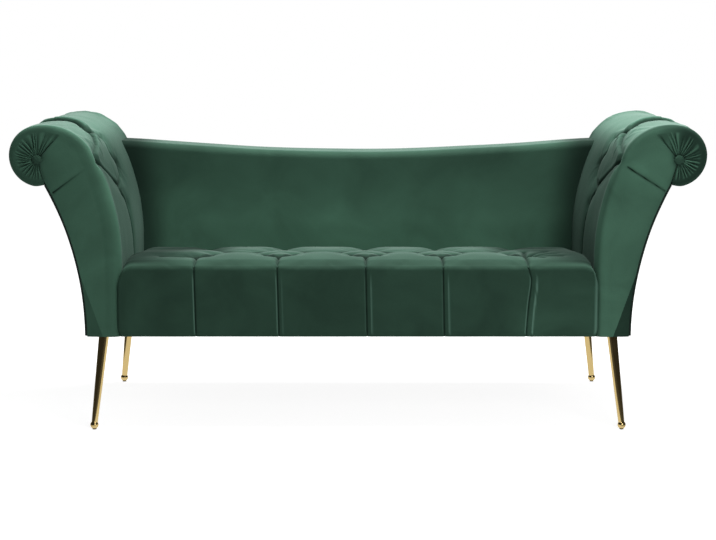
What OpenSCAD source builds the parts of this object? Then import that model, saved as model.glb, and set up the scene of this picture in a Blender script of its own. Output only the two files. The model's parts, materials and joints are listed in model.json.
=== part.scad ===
// Double scroll-arm couch: timber frame, sprung and padded seat, tufted fabric
// covers and four splayed metal legs. Millimetres, +Z up, the front faces -Y,
// feet on z = 0, centred on the legs in X and on the depth in Y.

/* [Overall] */
// Width of the seat between the arms
seat_w = 1242; // [1000:2:1700]
// Depth from the front of the seat border to the outer back
couch_d = 720; // [650:2:860]
// Height of the upholstery's underside above the floor
leg_h = 258; // [150:1:330]

/* [Seat] */
// Height of the timber seat rails
rail_h = 90; // [75:1:120]
// Thickness of the seat foam at the front edge
seat_foam_t = 82; // [60:1:110]
// Fall of the seat's top from its front edge to the back
seat_fall = 27; // [5:1:40]
// Radius of the seat's front top edge
seat_edge_r = 38; // [20:1:50]

/* [Arms] */
// Width of one arm at the level of its scroll
arm_w = 279; // [255:1:330]
// Width of one arm at its foot
arm_foot_w = 93; // [86:1:110]
// Height of the arm's top above the underside
arm_rise = 545; // [500:1:620]
// Radius of the scroll
scroll_r = 76; // [68:1:84]
// Radius of the arm's crest between the scroll and the inner side
crest_r = 143; // [115:1:155]
// Turn at which the crest runs into the scroll, in degrees
crest_turn = 79; // [60:1:88]
// Turn below the horizontal at which the scroll meets the outer side, in degrees
under_turn = 99; // [92:1:106]
// Height above the underside at which the arm starts to flare
flare_rise = 202; // [190:1:230]
// Distance of the facings behind the front of the seat border
facing_set = 3; // [1:0.5:8]
// Distance of the pleated fan's middle outside the scroll's own
fan_out = 6; // [0:1:12]
// Distance of the pleated fan's middle below the scroll's own
fan_drop = 9; // [0:1:16]
// Turn about that middle at which the pleated fan starts, in degrees
fan_turn = 130; // [110:1:145]
// Depth of the pleated fan on the facing
fan_t = 3; // [1.5:0.5:5]
// Diameter of the covered button in the middle of each scroll
scroll_button_d = 24; // [16:1:34]
// Depth of that button behind the fan
button_in = 2; // [1:0.5:3]
// Width and depth of the piping down the facings' outer edge
piping_w = 5; // [3:0.5:7]

/* [Back] */
// Thickness of the back where it meets the seat
back_t = 170; // [150:1:190]
// Height of the back's middle above the underside
back_rise = 436; // [400:1:470]
// Rise of the back's top edge from its middle to the arms
back_lift = 30; // [10:1:45]
// Lean of the back's front between the seat and the top
back_lean = 24; // [0:1:40]
// Radius of the back's front top edge
back_edge_r = 20; // [10:1:30]
// Radius of the back's rear top edge
back_rear_r = 22; // [10:1:30]
// Lap of the back cover down the rear
back_drop = 40; // [30:1:60]
// Foam over the back's top rail
back_cap_t = 28; // [20:1:36]

/* [Layers] */
// Thickness of the fabric covers with their wadding
cover_t = 2; // [1:0.5:3]
// Thickness of the arm foam
arm_foam_t = 26; // [18:1:28]
// Thickness of the bent board inside each arm
board_t = 4; // [3:0.5:6]
// Thickness of the covered outer panels of the arms
panel_t = 4; // [3:0.5:6]
// Thickness of the padded facings and the outer back
facing_t = 8; // [6:0.5:12]
// Thickness of the felt over the springs
felt_t = 6; // [4:0.5:10]
// Room for the dust cover below the timber
under_t = 2; // [1:0.5:4]
// Running clearance between soft layers
gap = 0.3; // [0.2:0.05:0.5]

/* [Timber] */
// Thickness of the arm ribs
rib_t = 18; // [15:1:24]
// Thickness of the seat rails
rail_t = 25; // [20:1:32]
// Depth of the rear seat rail and the back posts
rear_rail_t = 40; // [34:1:50]
// Width of the corner posts
post_w = 64; // [56:1:68]
// Depth of the corner posts
post_d = 60; // [54:1:80]
// Width of the back posts
back_post_w = 40; // [30:1:60]
// Thickness of the back's rails where they pass the ribs
back_rail_t = 22; // [18:1:28]
// Height of the back's top rail in its middle
top_rail_h = 60; // [45:1:80]
// Height of the back's lower rail
low_rail_h = 60; // [40:1:80]
// Height of the lower rail above the seat rails
low_rail_rise = 90; // [60:1:120]
// Distance of the cross rails from the middle
cross_rail_x = 210; // [120:2:280]
// Height of the cross rails
cross_rail_h = 70; // [50:1:74]
// Diameter of the arm stretchers
stretcher_d = 28; // [20:1:32]
// Wall of the tube inside each scroll
scroll_tube_wall = 5; // [3:0.5:9]

/* [Joinery] */
// Diameter of the frame dowels
dowel_d = 10; // [8:0.5:12]
// Length of the frame dowels
dowel_l = 50; // [40:1:56]
// Length of the tenons on the back posts
tenon_l = 22; // [15:1:30]
// Side of the tenons on the back posts
tenon_w = 20; // [14:1:26]
// Play around dowels, tenons and screws
joint_play = 0.2; // [0.1:0.05:0.4]
// Diameter of the screws that hold the ribs
rib_screw_d = 5; // [4:0.5:6]
// Length of the screws that hold the ribs
rib_screw_l = 45; // [35:1:55]

/* [Springs] */
// Distance between neighbouring seat springs
spring_pitch = 140; // [110:1:170]
// Diameter of the spring wire
wire_d = 3.8; // [3:0.1:5]
// Half width of the springs' waves
wave_w = 22; // [15:1:28]
// Length of one wave of a spring
wave_l = 79; // [60:1:100]
// Thickness of the spring clips
clip_t = 1.2; // [1:0.1:2]
// Width of the spring clips
clip_w = 20; // [14:1:30]
// Depth of the spring clips on the rails
clip_d = 16; // [12:1:20]
// Width of the back's webbing straps
strap_w = 45; // [30:1:50]
// Thickness of the back's webbing straps
strap_t = 2.5; // [1.5:0.5:4]

/* [Tufting] */
// Distance between the seat's tufts along the width
tuft_pitch = 217; // [180:1:250]
// Distance between the rows of seat tufts
tuft_row = 150; // [120:1:170]
// Distance of the first row of tufts behind the seat's front
tuft_first = 120; // [100:1:140]
// Depth of the tufts
tuft_depth = 14; // [8:1:18]
// Radius of the hollow around a tuft
tuft_r = 36; // [28:1:48]
// Diameter of the tuft buttons
button_d = 18; // [14:1:24]
// Thickness of the tuft buttons
button_t = 5; // [3:0.5:7]
// Diameter of the twine that pulls the tufts in
twine_d = 2; // [1.5:0.5:3]
// Distance of the upper arm tuft behind the seat's front
arm_tuft_set = 245; // [235:1:260]
// Distance of the front arm tuft before the upper one
arm_tuft_front = 200; // [170:5:210]
// Distance of the rear arm tuft behind the upper one
arm_tuft_rear = 115; // [90:5:220]
// Distance of the low arm tuft behind the upper one
arm_tuft_shift = 20; // [0:1:40]
// Turn of the upper arm tuft past the middle of the crest, in degrees
crest_tuft_past = 8; // [0:1:12]
// Turn of the front arm tuft below the top of the flare, in degrees
front_tuft_past = 1.1; // [0:0.1:3]
// Turn of the rear arm tuft below the top of the flare, in degrees
rear_tuft_past = 4.5; // [0:0.1:6]
// Turn of the low arm tuft above the middle of the flare, in degrees
low_tuft_past = 2.6; // [0:0.2:5]

/* [Legs] */
// Distance of a leg's middle inside the arm's outer face at the foot
leg_inset_x = 42; // [34:1:44]
// Distance of a leg's middle inside the front and the rear
leg_inset_y = 60; // [56:1:64]
// Outward splay of a foot sideways
splay_x = 28; // [0:1:60]
// Outward splay of a foot to the front or rear
splay_y = 20; // [0:1:40]
// Diameter of a leg at its top
leg_top_d = 28; // [20:0.5:30]
// Diameter of a leg above its ball foot
leg_low_d = 16; // [10:0.5:18]
// Diameter of the ball feet
ball_d = 22; // [18:0.5:30]
// Side of the square mounting plates
plate_w = 48; // [44:1:52]
// Thickness of the mounting plates
plate_t = 4; // [3:0.5:6]
// Play around the mounting plates in the dust cover
plate_play = 1; // [0.5:0.5:3]
// Distance of the plate screws from the leg's middle
screw_set = 17; // [15:0.5:18]
// Diameter of the plate screws
leg_screw_d = 4; // [3.5:0.5:5]
// Depth of the plate screws in the corner posts
leg_screw_l = 25; // [15:1:28]
// Diameter of the floor glides
glide_d = 11; // [8:0.5:13]
// Thickness of the floor glides
glide_t = 3; // [2:0.5:5]
// Stand of the floor glides below the ball feet
glide_out = 1; // [0.5:0.5:2]

/* [Hidden] */
$fn = 48;

// Levels, from the underside up
rail_z = leg_h + under_t;                     // bottom of the timber
rail_top = rail_z + rail_h;
clip_z = rail_top;                            // clips lie on the rails
wire_z = clip_z + clip_t + gap;
clip_lip_z = wire_z + wire_d + gap;
felt_z = clip_lip_z + clip_t + gap;
foam_z = felt_z + felt_t + gap;               // bottom of the seat and back foam
seat_top = foam_z + seat_foam_t + cover_t;    // seat height at the front edge
seat_low = seat_top - seat_fall;              // seat height at the back
back_mid = leg_h + back_rise;                 // top of the back in its middle

// Planes across the depth
front_y = -couch_d / 2;
rear_y = couch_d / 2;
facing_y = front_y + facing_set;              // front of the front facings
rib_fy = facing_y + facing_t;                 // front of the front ribs
frame_fy = rib_fy + rib_t;                    // front of the seat frame
rib_ry = rear_y - facing_t;                   // rear of the rear ribs
frame_ry = rib_ry - rib_t;                    // front of the rear ribs
rear_rail_y = rib_ry - rear_rail_t;           // front of the rear rail and posts
back_y = rear_y - back_t;                     // front of the back at the seat

// Layers of an arm, as distances inward from its inner surface
foam_in = cover_t + gap;
board_in = foam_in + arm_foam_t + gap;
rib_in = board_in + board_t + gap;
rib_out = panel_t + gap;                      // distance inward from the outer side

// The arm's outline is made of four tangent arcs in the X-Z plane
inner_x = seat_w / 2;
foot_x = inner_x + arm_foot_w;
couch_w = seat_w + 2 * arm_w;
scroll_c = [couch_w / 2 - scroll_r, leg_h + arm_rise - scroll_r];
crest_c = scroll_c - (crest_r - scroll_r) * [cos(crest_turn), sin(crest_turn)];
flare_z = leg_h + flare_rise;
flare_dx = crest_c[0] - inner_x;
flare_dz = crest_c[1] - flare_z;
flare_r = (pow(flare_dx, 2) + pow(flare_dz, 2) - pow(crest_r, 2))
    / (2 * (flare_dx - crest_r));
flare_c = [inner_x + flare_r, flare_z];
flare_turn = atan2(crest_c[1] - flare_c[1], crest_c[0] - flare_c[0]);
join = scroll_c + scroll_r * [cos(under_turn), -sin(under_turn)];
outer_r = (pow(join[0] - foot_x, 2) + pow(join[1] - leg_h, 2))
    / (2 * (join[0] - foot_x));
outer_c = [foot_x + outer_r, leg_h];
centre_gap = norm(scroll_c - outer_c);
fan_c = scroll_c + [fan_out, -fan_drop];      // middle of the pleated fan

// Corner posts, legs and back posts
post_x = foot_x - rib_out - post_w;           // inner face of a corner post
side_rail_x = post_x + (post_w - rail_t) / 2;
leg_x = foot_x - leg_inset_x;
leg_y = couch_d / 2 - leg_inset_y;
dowel_low = rail_z + leg_screw_l + dowel_d;   // clear above the leg screws
dowel_high = rail_top - 1.5 * dowel_d;
rib_screw_x = post_x + post_w - 2.4 * rib_screw_d;
back_post_x = inner_x - 1.5 * back_post_w;
top_rail_z = back_mid - back_cap_t - cover_t - top_rail_h;
low_rail_z = rail_top + low_rail_rise;
tongue_x = scroll_c[0] - scroll_r;            // end of the top rail on the rib
strap_count = 4;
strap_step = (top_rail_z - foam_z) / strap_count;
web_y = rear_rail_y - strap_t - gap;          // rear face of the back foam
back_half = tongue_x;                         // half width before the arms are cut out
lift_half = inner_x;                          // where the top edge has risen fully

// Springs that fit between the outer back posts
spring_half =
    floor((back_post_x - back_post_w / 2 - wave_w - clip_w / 2) / spring_pitch + 0.5);
spring_y0 = frame_fy + clip_d / 2;
spring_y1 = rear_rail_y + clip_d / 2;

// Tufts: rows of the seat, with the front row's places shifted as sewn
tuft_shift = [-3, -3, 11, -4, 1];
tuft_centre = 9;
tuft_front = [for (i = [0:4]) (i - 2) * tuft_pitch + tuft_centre + tuft_shift[i]];
tuft_mid = [for (i = [0:3]) (tuft_front[i] + tuft_front[i + 1]) / 2];
seat_tufts = concat(
    [for (x = tuft_front) [x, front_y + tuft_first]],
    [for (x = tuft_mid) [x, front_y + tuft_first + tuft_row]],
    [for (x = tuft_front) [x, front_y + tuft_first + 2 * tuft_row]]
);
// Arm tufts: arc centre, arc radius, turn on the arc, place along the depth
arm_tuft_y = front_y + arm_tuft_set;
crest_tuft = [crest_c, crest_r, (crest_turn + flare_turn) / 2 + crest_tuft_past];
front_tuft = [flare_c, flare_r, flare_turn + front_tuft_past];
rear_tuft = [flare_c, flare_r, flare_turn + rear_tuft_past];
low_tuft = [flare_c, flare_r, (180 + flare_turn) / 2 - low_tuft_past];
arm_tufts = [
    [crest_tuft, arm_tuft_y],
    [front_tuft, arm_tuft_y - arm_tuft_front],
    [rear_tuft, arm_tuft_y + arm_tuft_rear],
    [low_tuft, arm_tuft_y + arm_tuft_shift]
];

// Points of an arc after its first one
function arc(c, r, a0, a1, n) =
    [for (i = [1:n]) c + r * [cos(a0 + (a1 - a0) * i / n), sin(a0 + (a1 - a0) * i / n)]];
function backwards(p) = [for (i = [len(p) - 1:-1:0]) p[i]];

// Turn about the scroll at which a circle of radius r meets the outer side
// moved inward by t
function scroll_end(r, t) =
    atan2(outer_c[1] - scroll_c[1], outer_c[0] - scroll_c[0])
    - acos((pow(centre_gap, 2) + r * r - pow(outer_r + t, 2)) / (2 * centre_gap * r));
// The same meeting point as a turn about the outer side's own centre
function outer_end(r, t) =
    atan2(scroll_c[1] - outer_c[1], scroll_c[0] - outer_c[0])
    + acos((pow(centre_gap, 2) + pow(outer_r + t, 2) - r * r)
        / (2 * centre_gap * (outer_r + t)));

// The arm's inner surface moved in by t, from height z0 up and over the scroll,
// ending on the outer side moved in by s
function arm_path(t, z0, s) = concat(
    [[inner_x + t, z0], [inner_x + t, flare_z]],
    arc(flare_c, flare_r - t, 180, flare_turn, 12),
    arc(crest_c, crest_r - t, flare_turn, crest_turn, 8),
    arc(scroll_c, scroll_r - t, crest_turn, scroll_end(scroll_r - t, s), 16)
);
// The whole arm moved in by t on the inner side and s on the outer side
function arm_outline(t, s, z0) = concat(
    arm_path(t, z0, s),
    arc(outer_c, outer_r + s, outer_end(scroll_r - t, s),
        180 - asin((z0 - leg_h) / (outer_r + s)), 12)
);
// A layer of the arm between two depths
function arm_layer(t0, t1, z0, s) =
    concat(arm_path(t0, z0, s), backwards(arm_path(t1, z0, s)));
// A layer on the outer side between two depths
function outer_layer(s0, s1, r) = concat(
    arc(outer_c, outer_r + s0, outer_end(r, 0), 180, 12),
    backwards(arc(outer_c, outer_r + s1, outer_end(r, 0), 180, 12)),
    [outer_c + (outer_r + s1) * [cos(outer_end(r, 0)), sin(outer_end(r, 0))],
     outer_c + (outer_r + s0) * [cos(outer_end(r, 0)), sin(outer_end(r, 0))]]
);

// Height of the back's top edge
function back_top(x) = back_mid + back_lift * pow(abs(x) / lift_half, 1.8);
// Front of the back at height z
function back_front(z) =
    back_y + back_lean * max(0, z - seat_low) / (back_mid - seat_low);
// The back's surface in the Y-Z plane at place x, moved in by t
function back_path(x, t) = concat(
    [[back_front(foam_z) + t, foam_z],
     [back_front(seat_low) + t, seat_low],
     [back_front(back_top(x) - back_edge_r) + t, back_top(x) - back_edge_r]],
    arc([back_front(back_top(x) - back_edge_r) + back_edge_r, back_top(x) - back_edge_r],
        back_edge_r - t, 180, 90, 5),
    [[rear_y - back_rear_r, back_top(x) - t]],
    arc([rear_y - back_rear_r, back_top(x) - back_rear_r], back_rear_r - t, 90, 0, 4),
    [[rear_y - t, back_top(x) - back_drop]]
);
// The seat's surface in the Y-Z plane moved in by t, from height z0 at the front
function seat_path(t, z0) = concat(
    [[front_y + t, z0], [front_y + t, seat_top - seat_edge_r]],
    arc([front_y + seat_edge_r, seat_top - seat_edge_r], seat_edge_r - t, 180, 90, 8),
    [[back_y - gap - t, seat_low - t], [back_y - gap - t, foam_z]]
);
// Height of the seat's top at depth y
function seat_z(y) = seat_top
    - seat_fall * (y - front_y - seat_edge_r) / (back_y - front_y - seat_edge_r);

// One wave line of a seat spring, moved sideways by s
function spring_point(v, s) =
    let (k = 360 / wave_l, slope = wave_w * k * PI / 180 * cos(k * v),
         m = sqrt(1 + slope * slope))
    [wave_w * sin(k * v) + s / m, v - s * slope / m];
function spring_side(s, n) =
    [for (i = [0:n]) spring_point((spring_y1 - spring_y0) * i / n, s)];

// Extrudes an X-Z outline from y0 to y1
module along_y(y0, y1) {
    translate([0, y1, 0])
    rotate([90, 0, 0])
    linear_extrude(y1 - y0)
    children();
}
// Extrudes a Y-Z outline from x0 to x1
module along_x(x0, x1) {
    translate([x0, 0, 0])
    rotate([90, 0, 90])
    linear_extrude(x1 - x0)
    children();
}
module left() {
    mirror([1, 0, 0])
    children();
}
module both_sides() {
    children();
    left()
    children();
}
module front_and_rear() {
    children();
    mirror([0, 1, 0])
    children();
}
module box_from(a, b) {
    translate(a)
    cube(b - a);
}
// Solid between rings of points of equal length, one ring after another
module loft(rings) {
    n = len(rings[0]);
    m = len(rings);
    polyhedron(
        points = [for (r = rings) for (p = r) p],
        faces = concat(
            [[for (i = [n - 1:-1:0]) i]],
            [for (j = [0:m - 2]) for (i = [0:n - 1]) for (h = [0, 1]) h == 0
                ? [j * n + i, j * n + (i + 1) % n, (j + 1) * n + i]
                : [j * n + (i + 1) % n, (j + 1) * n + (i + 1) % n, (j + 1) * n + i]],
            [[for (i = [0:n - 1]) (m - 1) * n + i]]
        )
    );
}

// ---- Joinery ----
module rail_dowel_places() {
    // ends of the front rail
    for (z = [dowel_low, dowel_high])
        translate([post_x, frame_fy + rail_t / 2, z])
        rotate([0, 90, 0])
        children();
    // ends of the rear rail, where it overlaps the post
    for (z = [dowel_low, dowel_high])
        translate([post_x, (rear_rail_y + frame_ry) / 2, z])
        rotate([0, 90, 0])
        children();
    // both ends of the side rail
    for (z = [dowel_low, dowel_high])
        for (y = [frame_fy + post_d, frame_ry - post_d])
            translate([side_rail_x + rail_t / 2, y, z])
            rotate([90, 0, 0])
            children();
}
module dowel_bores() {
    both_sides()
    rail_dowel_places()
    cylinder(d = dowel_d + 2 * joint_play, h = dowel_l + 2 * joint_play, center = true);
}
module rib_screw_places() {
    for (z = [dowel_low, dowel_high]) {
        translate([rib_screw_x, rib_fy, z])
        rotate([-90, 0, 0])
        children();
        translate([rib_screw_x, rib_ry, z])
        rotate([90, 0, 0])
        children();
    }
}
// Shape along +Z from the rib's face; play widens it for a bore
module rib_screw(play) {
    cylinder(d = rib_screw_d + 2 * play, h = rib_screw_l + play);
    cylinder(d = 1.8 * rib_screw_d + 2 * play, h = 0.6 * rib_screw_d + play);
}
module rib_screw_bores() {
    both_sides()
    rib_screw_places()
    rib_screw(joint_play);
}
module leg_places() {
    for (sx = [0, 1])
        for (sy = [0, 1])
            mirror([sx, 0, 0])
            mirror([0, sy, 0])
            translate([leg_x, leg_y, rail_z])
            children();
}
module plate_screw_places() {
    for (x = [-screw_set, screw_set])
        for (y = [-screw_set, screw_set])
            translate([x, y, 0])
            children();
}
module leg_screw_bores() {
    leg_places()
    plate_screw_places()
    translate([0, 0, -plate_t - 1])
    cylinder(d = leg_screw_d + 2 * joint_play, h = leg_screw_l + plate_t + 1 + joint_play);
}

// ---- Timber seat frame ----
module front_seat_rail() {
    color("burlywood")
    difference() {
        box_from([-post_x, frame_fy, rail_z], [post_x, frame_fy + rail_t, rail_top]);
        dowel_bores();
    }
}
module rear_seat_rail() {
    color("burlywood")
    difference() {
        box_from([-post_x, rear_rail_y, rail_z], [post_x, rib_ry, rail_top]);
        dowel_bores();
        back_post_places()
        tenon(joint_play);
    }
}
module right_seat_rail() {
    color("burlywood")
    difference() {
        box_from([side_rail_x, frame_fy + post_d, rail_z],
            [side_rail_x + rail_t, frame_ry - post_d, rail_top]);
        dowel_bores();
    }
}
module left_seat_rail() {
    left()
    right_seat_rail();
}
// Two rails tie the front rail to the rear rail under the springs
module seat_cross_rails() {
    color("burlywood")
    both_sides()
    box_from([cross_rail_x - rail_t / 2, frame_fy + rail_t, rail_z],
        [cross_rail_x + rail_t / 2, rear_rail_y, rail_z + cross_rail_h]);
}
module corner_posts() {
    color("peru")
    difference() {
        both_sides() {
            box_from([post_x, frame_fy, rail_z],
                [post_x + post_w, frame_fy + post_d, rail_top]);
            box_from([post_x, frame_ry - post_d, rail_z],
                [post_x + post_w, frame_ry, rail_top]);
        }
        dowel_bores();
        rib_screw_bores();
        leg_screw_bores();
    }
}
module seat_frame_dowels() {
    color("wheat")
    both_sides()
    rail_dowel_places()
    cylinder(d = dowel_d, h = dowel_l, center = true);
}

// ---- Arm frames ----
// Shaped ribs stand at both ends of each arm
module right_front_rib() {
    color("tan")
    difference() {
        along_y(rib_fy, frame_fy)
        polygon(arm_outline(rib_in, rib_out, rail_z));
        rib_screw_bores();
    }
}
module right_rear_rib() {
    color("tan")
    difference() {
        along_y(frame_ry, rib_ry)
        polygon(arm_outline(rib_in, rib_out, rail_z));
        rib_screw_bores();
    }
}
module left_front_rib() {
    left()
    right_front_rib();
}
module left_rear_rib() {
    left()
    right_rear_rib();
}
// One stretcher backs the outer panel, one backs the bent inner board
outer_stretcher_turn = 163;
outer_stretcher_c = outer_c + (outer_r + panel_t + 2 * gap + stretcher_d / 2)
    * [cos(outer_stretcher_turn), sin(outer_stretcher_turn)];
inner_stretcher_turn = 172;
inner_stretcher_c = flare_c + (flare_r - rib_in - stretcher_d / 2)
    * [cos(inner_stretcher_turn), sin(inner_stretcher_turn)];
module right_arm_stretchers() {
    color("burlywood")
    along_y(frame_fy, frame_ry) {
        translate(outer_stretcher_c)
        circle(d = stretcher_d);
        translate(inner_stretcher_c)
        circle(d = stretcher_d);
    }
}
module left_arm_stretchers() {
    left()
    right_arm_stretchers();
}
module right_scroll_tube() {
    color("tan")
    along_y(frame_fy, frame_ry)
    translate(scroll_c)
    difference() {
        circle(r = scroll_r - rib_in);
        circle(r = scroll_r - rib_in - scroll_tube_wall);
    }
}
module left_scroll_tube() {
    left()
    right_scroll_tube();
}
// The way through an arm's inner layers for the end of the back's top rail
module top_rail_way() {
    box_from([inner_x - cover_t, rear_rail_y - gap, top_rail_z - gap],
        [tongue_x + gap, rear_rail_y + back_rail_t + gap,
         back_top(tongue_x) - back_cap_t - cover_t + gap]);
}
module right_arm_board() {
    color("sienna")
    difference() {
        along_y(rib_fy, rib_ry)
        polygon(arm_layer(board_in, board_in + board_t, foam_z, panel_t));
        top_rail_way();
    }
}
module left_arm_board() {
    left()
    right_arm_board();
}

// ---- Back frame ----
module back_post_places() {
    for (x = [-back_post_x, 0, back_post_x])
        translate([x, rear_rail_y + rear_rail_t / 2, rail_top])
        children();
}
// Tenon below a post's foot; play widens it for the mortise
module tenon(play) {
    translate([-tenon_w / 2 - play, -tenon_w / 2 - play, -tenon_l - play])
    cube([tenon_w + 2 * play, tenon_w + 2 * play, tenon_l + play]);
}
module back_posts() {
    color("burlywood")
    back_post_places() {
        translate([-back_post_w / 2, -rear_rail_t / 2, 0])
        cube([back_post_w, rear_rail_t, top_rail_z - rail_top]);
        tenon(0);
        translate([0, 0, top_rail_z - rail_top])
        mirror([0, 0, 1])
        tenon(0);
    }
}
// Top edge of the top rail from x0 to x1
function rail_edge(x0, x1, n) =
    [for (i = [0:n]) let (x = x0 + (x1 - x0) * i / n) [x, back_top(x) - back_cap_t - cover_t]];
// The top rail thins where it passes in front of the rear ribs
module back_top_rail() {
    color("burlywood")
    difference() {
        union() {
            along_y(rear_rail_y, rib_ry)
            polygon(concat([[inner_x - gap, top_rail_z], [-inner_x + gap, top_rail_z]],
                rail_edge(-inner_x + gap, inner_x - gap, 24)));
            along_y(rear_rail_y, rear_rail_y + back_rail_t)
            polygon(concat([[tongue_x, top_rail_z], [-tongue_x, top_rail_z]],
                rail_edge(-tongue_x, tongue_x, 28)));
        }
        back_post_places()
        translate([0, 0, top_rail_z - rail_top])
        mirror([0, 0, 1])
        tenon(joint_play);
    }
}
module back_lower_rails() {
    color("burlywood")
    both_sides()
    box_from([back_post_w / 2, rear_rail_y, low_rail_z],
        [back_post_x - back_post_w / 2, rear_rail_y + back_rail_t, low_rail_z + low_rail_h]);
}
module back_webbing() {
    color("dimgray")
    for (i = [0:strap_count - 1])
        translate([-back_post_x - back_post_w / 2, rear_rail_y - strap_t,
            foam_z + strap_step * (i + 0.5) - strap_w / 2])
        cube([2 * back_post_x + back_post_w, strap_t, strap_w]);
}

// ---- Suspension ----
module spring_places() {
    both_sides()
    for (i = [0:spring_half - 1])
        translate([spring_pitch * (i + 0.5), spring_y0, 0])
        children();
}
module seat_springs() {
    color("slategray")
    spring_places()
    translate([0, 0, wire_z])
    linear_extrude(wire_d)
    polygon(concat(spring_side(-wire_d / 2, 96), backwards(spring_side(wire_d / 2, 96))));
}
// A clip's foot lies on the rail, its lip holds the wire down
module spring_clip() {
    translate([-clip_w / 2, -clip_d / 2, clip_z])
    cube([clip_w, clip_d, clip_t]);
    translate([-clip_w / 2, -clip_d / 2, clip_lip_z])
    cube([clip_w, clip_d, clip_t]);
    translate([-clip_w / 2, -clip_d / 2, clip_z])
    cube([clip_w, clip_t, clip_lip_z + clip_t - clip_z]);
}
module spring_clips() {
    color("silver")
    spring_places() {
        spring_clip();
        translate([0, spring_y1 - spring_y0, 0])
        rotate([0, 0, 180])
        spring_clip();
    }
}
module seat_felt() {
    color("lightgray")
    box_from([-inner_x + gap, frame_fy + gap, felt_z],
        [inner_x - gap, web_y, felt_z + felt_t]);
}

// ---- Tuft places ----
// Hollow around a tuft, deeper by t; the origin lies on the untufted surface
module tuft_hollow(t) {
    translate([0, 0, tuft_r - tuft_depth])
    sphere(r = tuft_r + t);
}
tuft_seat_z = -tuft_depth + tuft_r - sqrt(pow(tuft_r, 2) - pow(button_d / 2, 2)) + gap;
module seat_tuft_places() {
    for (p = seat_tufts)
        translate([p[0], p[1], seat_z(p[1])])
        children();
}
module arm_tuft_places() {
    for (p = arm_tufts)
        translate([p[0][0][0] + p[0][1] * cos(p[0][2]), p[1],
            p[0][0][1] + p[0][1] * sin(p[0][2])])
        rotate([0, 90 - p[0][2], 0])
        children();
}
// Twine from the button down to depth d below the untufted surface
module twine(d, play) {
    translate([0, 0, -d])
    cylinder(d = twine_d + 2 * play, h = d + tuft_seat_z + play);
}
module twine_in_seat(play) {
    for (p = seat_tufts)
        translate([p[0], p[1], seat_z(p[1])])
        twine(seat_z(p[1]) - felt_z - felt_t, play);
}
module twine_in_arm(play) {
    arm_tuft_places()
    twine(board_in, play);
}

// ---- Soft filling ----
module seat_block(t, x0) {
    along_x(-x0, x0)
    polygon(concat([[front_y + t, foam_z]], seat_path(t, foam_z)));
}
module seat_foam() {
    color("khaki")
    difference() {
        seat_block(cover_t + gap, inner_x - cover_t - 2 * gap);
        seat_tuft_places()
        tuft_hollow(cover_t + gap);
        twine_in_seat(gap);
    }
}
module border_foam() {
    color("khaki")
    box_from([-inner_x + gap, front_y + cover_t + gap, rail_z],
        [inner_x - gap, frame_fy - gap, foam_z - gap]);
}
module arms_cut() {
    both_sides()
    along_y(0, couch_d)
    polygon(concat(arm_path(-gap, leg_h - rail_h, 0),
        [[couch_w, leg_h + arm_rise], [couch_w, leg_h - rail_h]]));
}
back_steps = 14;
back_places = [for (i = [-back_steps:back_steps]) back_half * i / back_steps];
module back_foam() {
    color("khaki")
    difference() {
        loft([for (x = back_places)
            [for (p = concat(back_path(x, cover_t + gap),
                [[rib_ry + gap, back_top(x) - back_drop],
                 [rib_ry + gap, back_top(x) - back_cap_t - cover_t + gap],
                 [web_y, back_top(x) - back_cap_t - cover_t + gap],
                 [web_y, foam_z]]))
                [x, p[0], p[1]]]]);
        arms_cut();
    }
}
module right_arm_foam() {
    color("khaki")
    difference() {
        along_y(rib_fy, rib_ry)
        polygon(arm_layer(foam_in, foam_in + arm_foam_t, foam_z, panel_t));
        top_rail_way();
        arm_tuft_places()
        tuft_hollow(cover_t + gap);
        twine_in_arm(gap);
    }
}
module left_arm_foam() {
    left()
    right_arm_foam();
}

// ---- Fabric covers ----
module seat_cover() {
    color("darkgreen")
    difference() {
        union() {
            seat_block(0, inner_x - gap);
            box_from([-inner_x + gap, front_y, leg_h],
                [inner_x - gap, front_y + cover_t, seat_top - seat_edge_r]);
        }
        seat_tuft_places()
        tuft_hollow(0);
        difference() {
            seat_block(cover_t, inner_x - cover_t - gap);
            seat_tuft_places()
            tuft_hollow(cover_t);
        }
        twine_in_seat(gap);
    }
}
module back_cover() {
    color("darkgreen")
    difference() {
        loft([for (x = back_places)
            [for (p = concat(back_path(x, 0), backwards(back_path(x, cover_t))))
                [x, p[0], p[1]]]]);
        arms_cut();
    }
}
module outer_back_panel() {
    color("seagreen")
    difference() {
        along_y(rib_ry, rear_y)
        polygon(concat([[back_half, leg_h], [-back_half, leg_h]],
            [for (x = back_places) [x, back_top(x) - back_drop - gap]]));
        arms_cut();
    }
}
module right_arm_cover() {
    color("darkgreen")
    difference() {
        union() {
            difference() {
                along_y(rib_fy, rib_ry)
                polygon(arm_layer(0, cover_t, foam_z, 0));
                arm_tuft_places()
                tuft_hollow(0);
            }
            intersection() {
                arm_tuft_places()
                difference() {
                    tuft_hollow(cover_t);
                    tuft_hollow(0);
                }
                along_y(rib_fy, rib_ry)
                polygon(arm_layer(0, tuft_depth + 2 * cover_t, foam_z, 0));
            }
        }
        top_rail_way();
        twine_in_arm(gap);
    }
}
module left_arm_cover() {
    left()
    right_arm_cover();
}
module right_outer_arm_panel() {
    color("seagreen")
    along_y(rib_fy, rib_ry)
    polygon(outer_layer(0, panel_t, scroll_r));
}
module left_outer_arm_panel() {
    left()
    right_outer_arm_panel();
}
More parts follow.
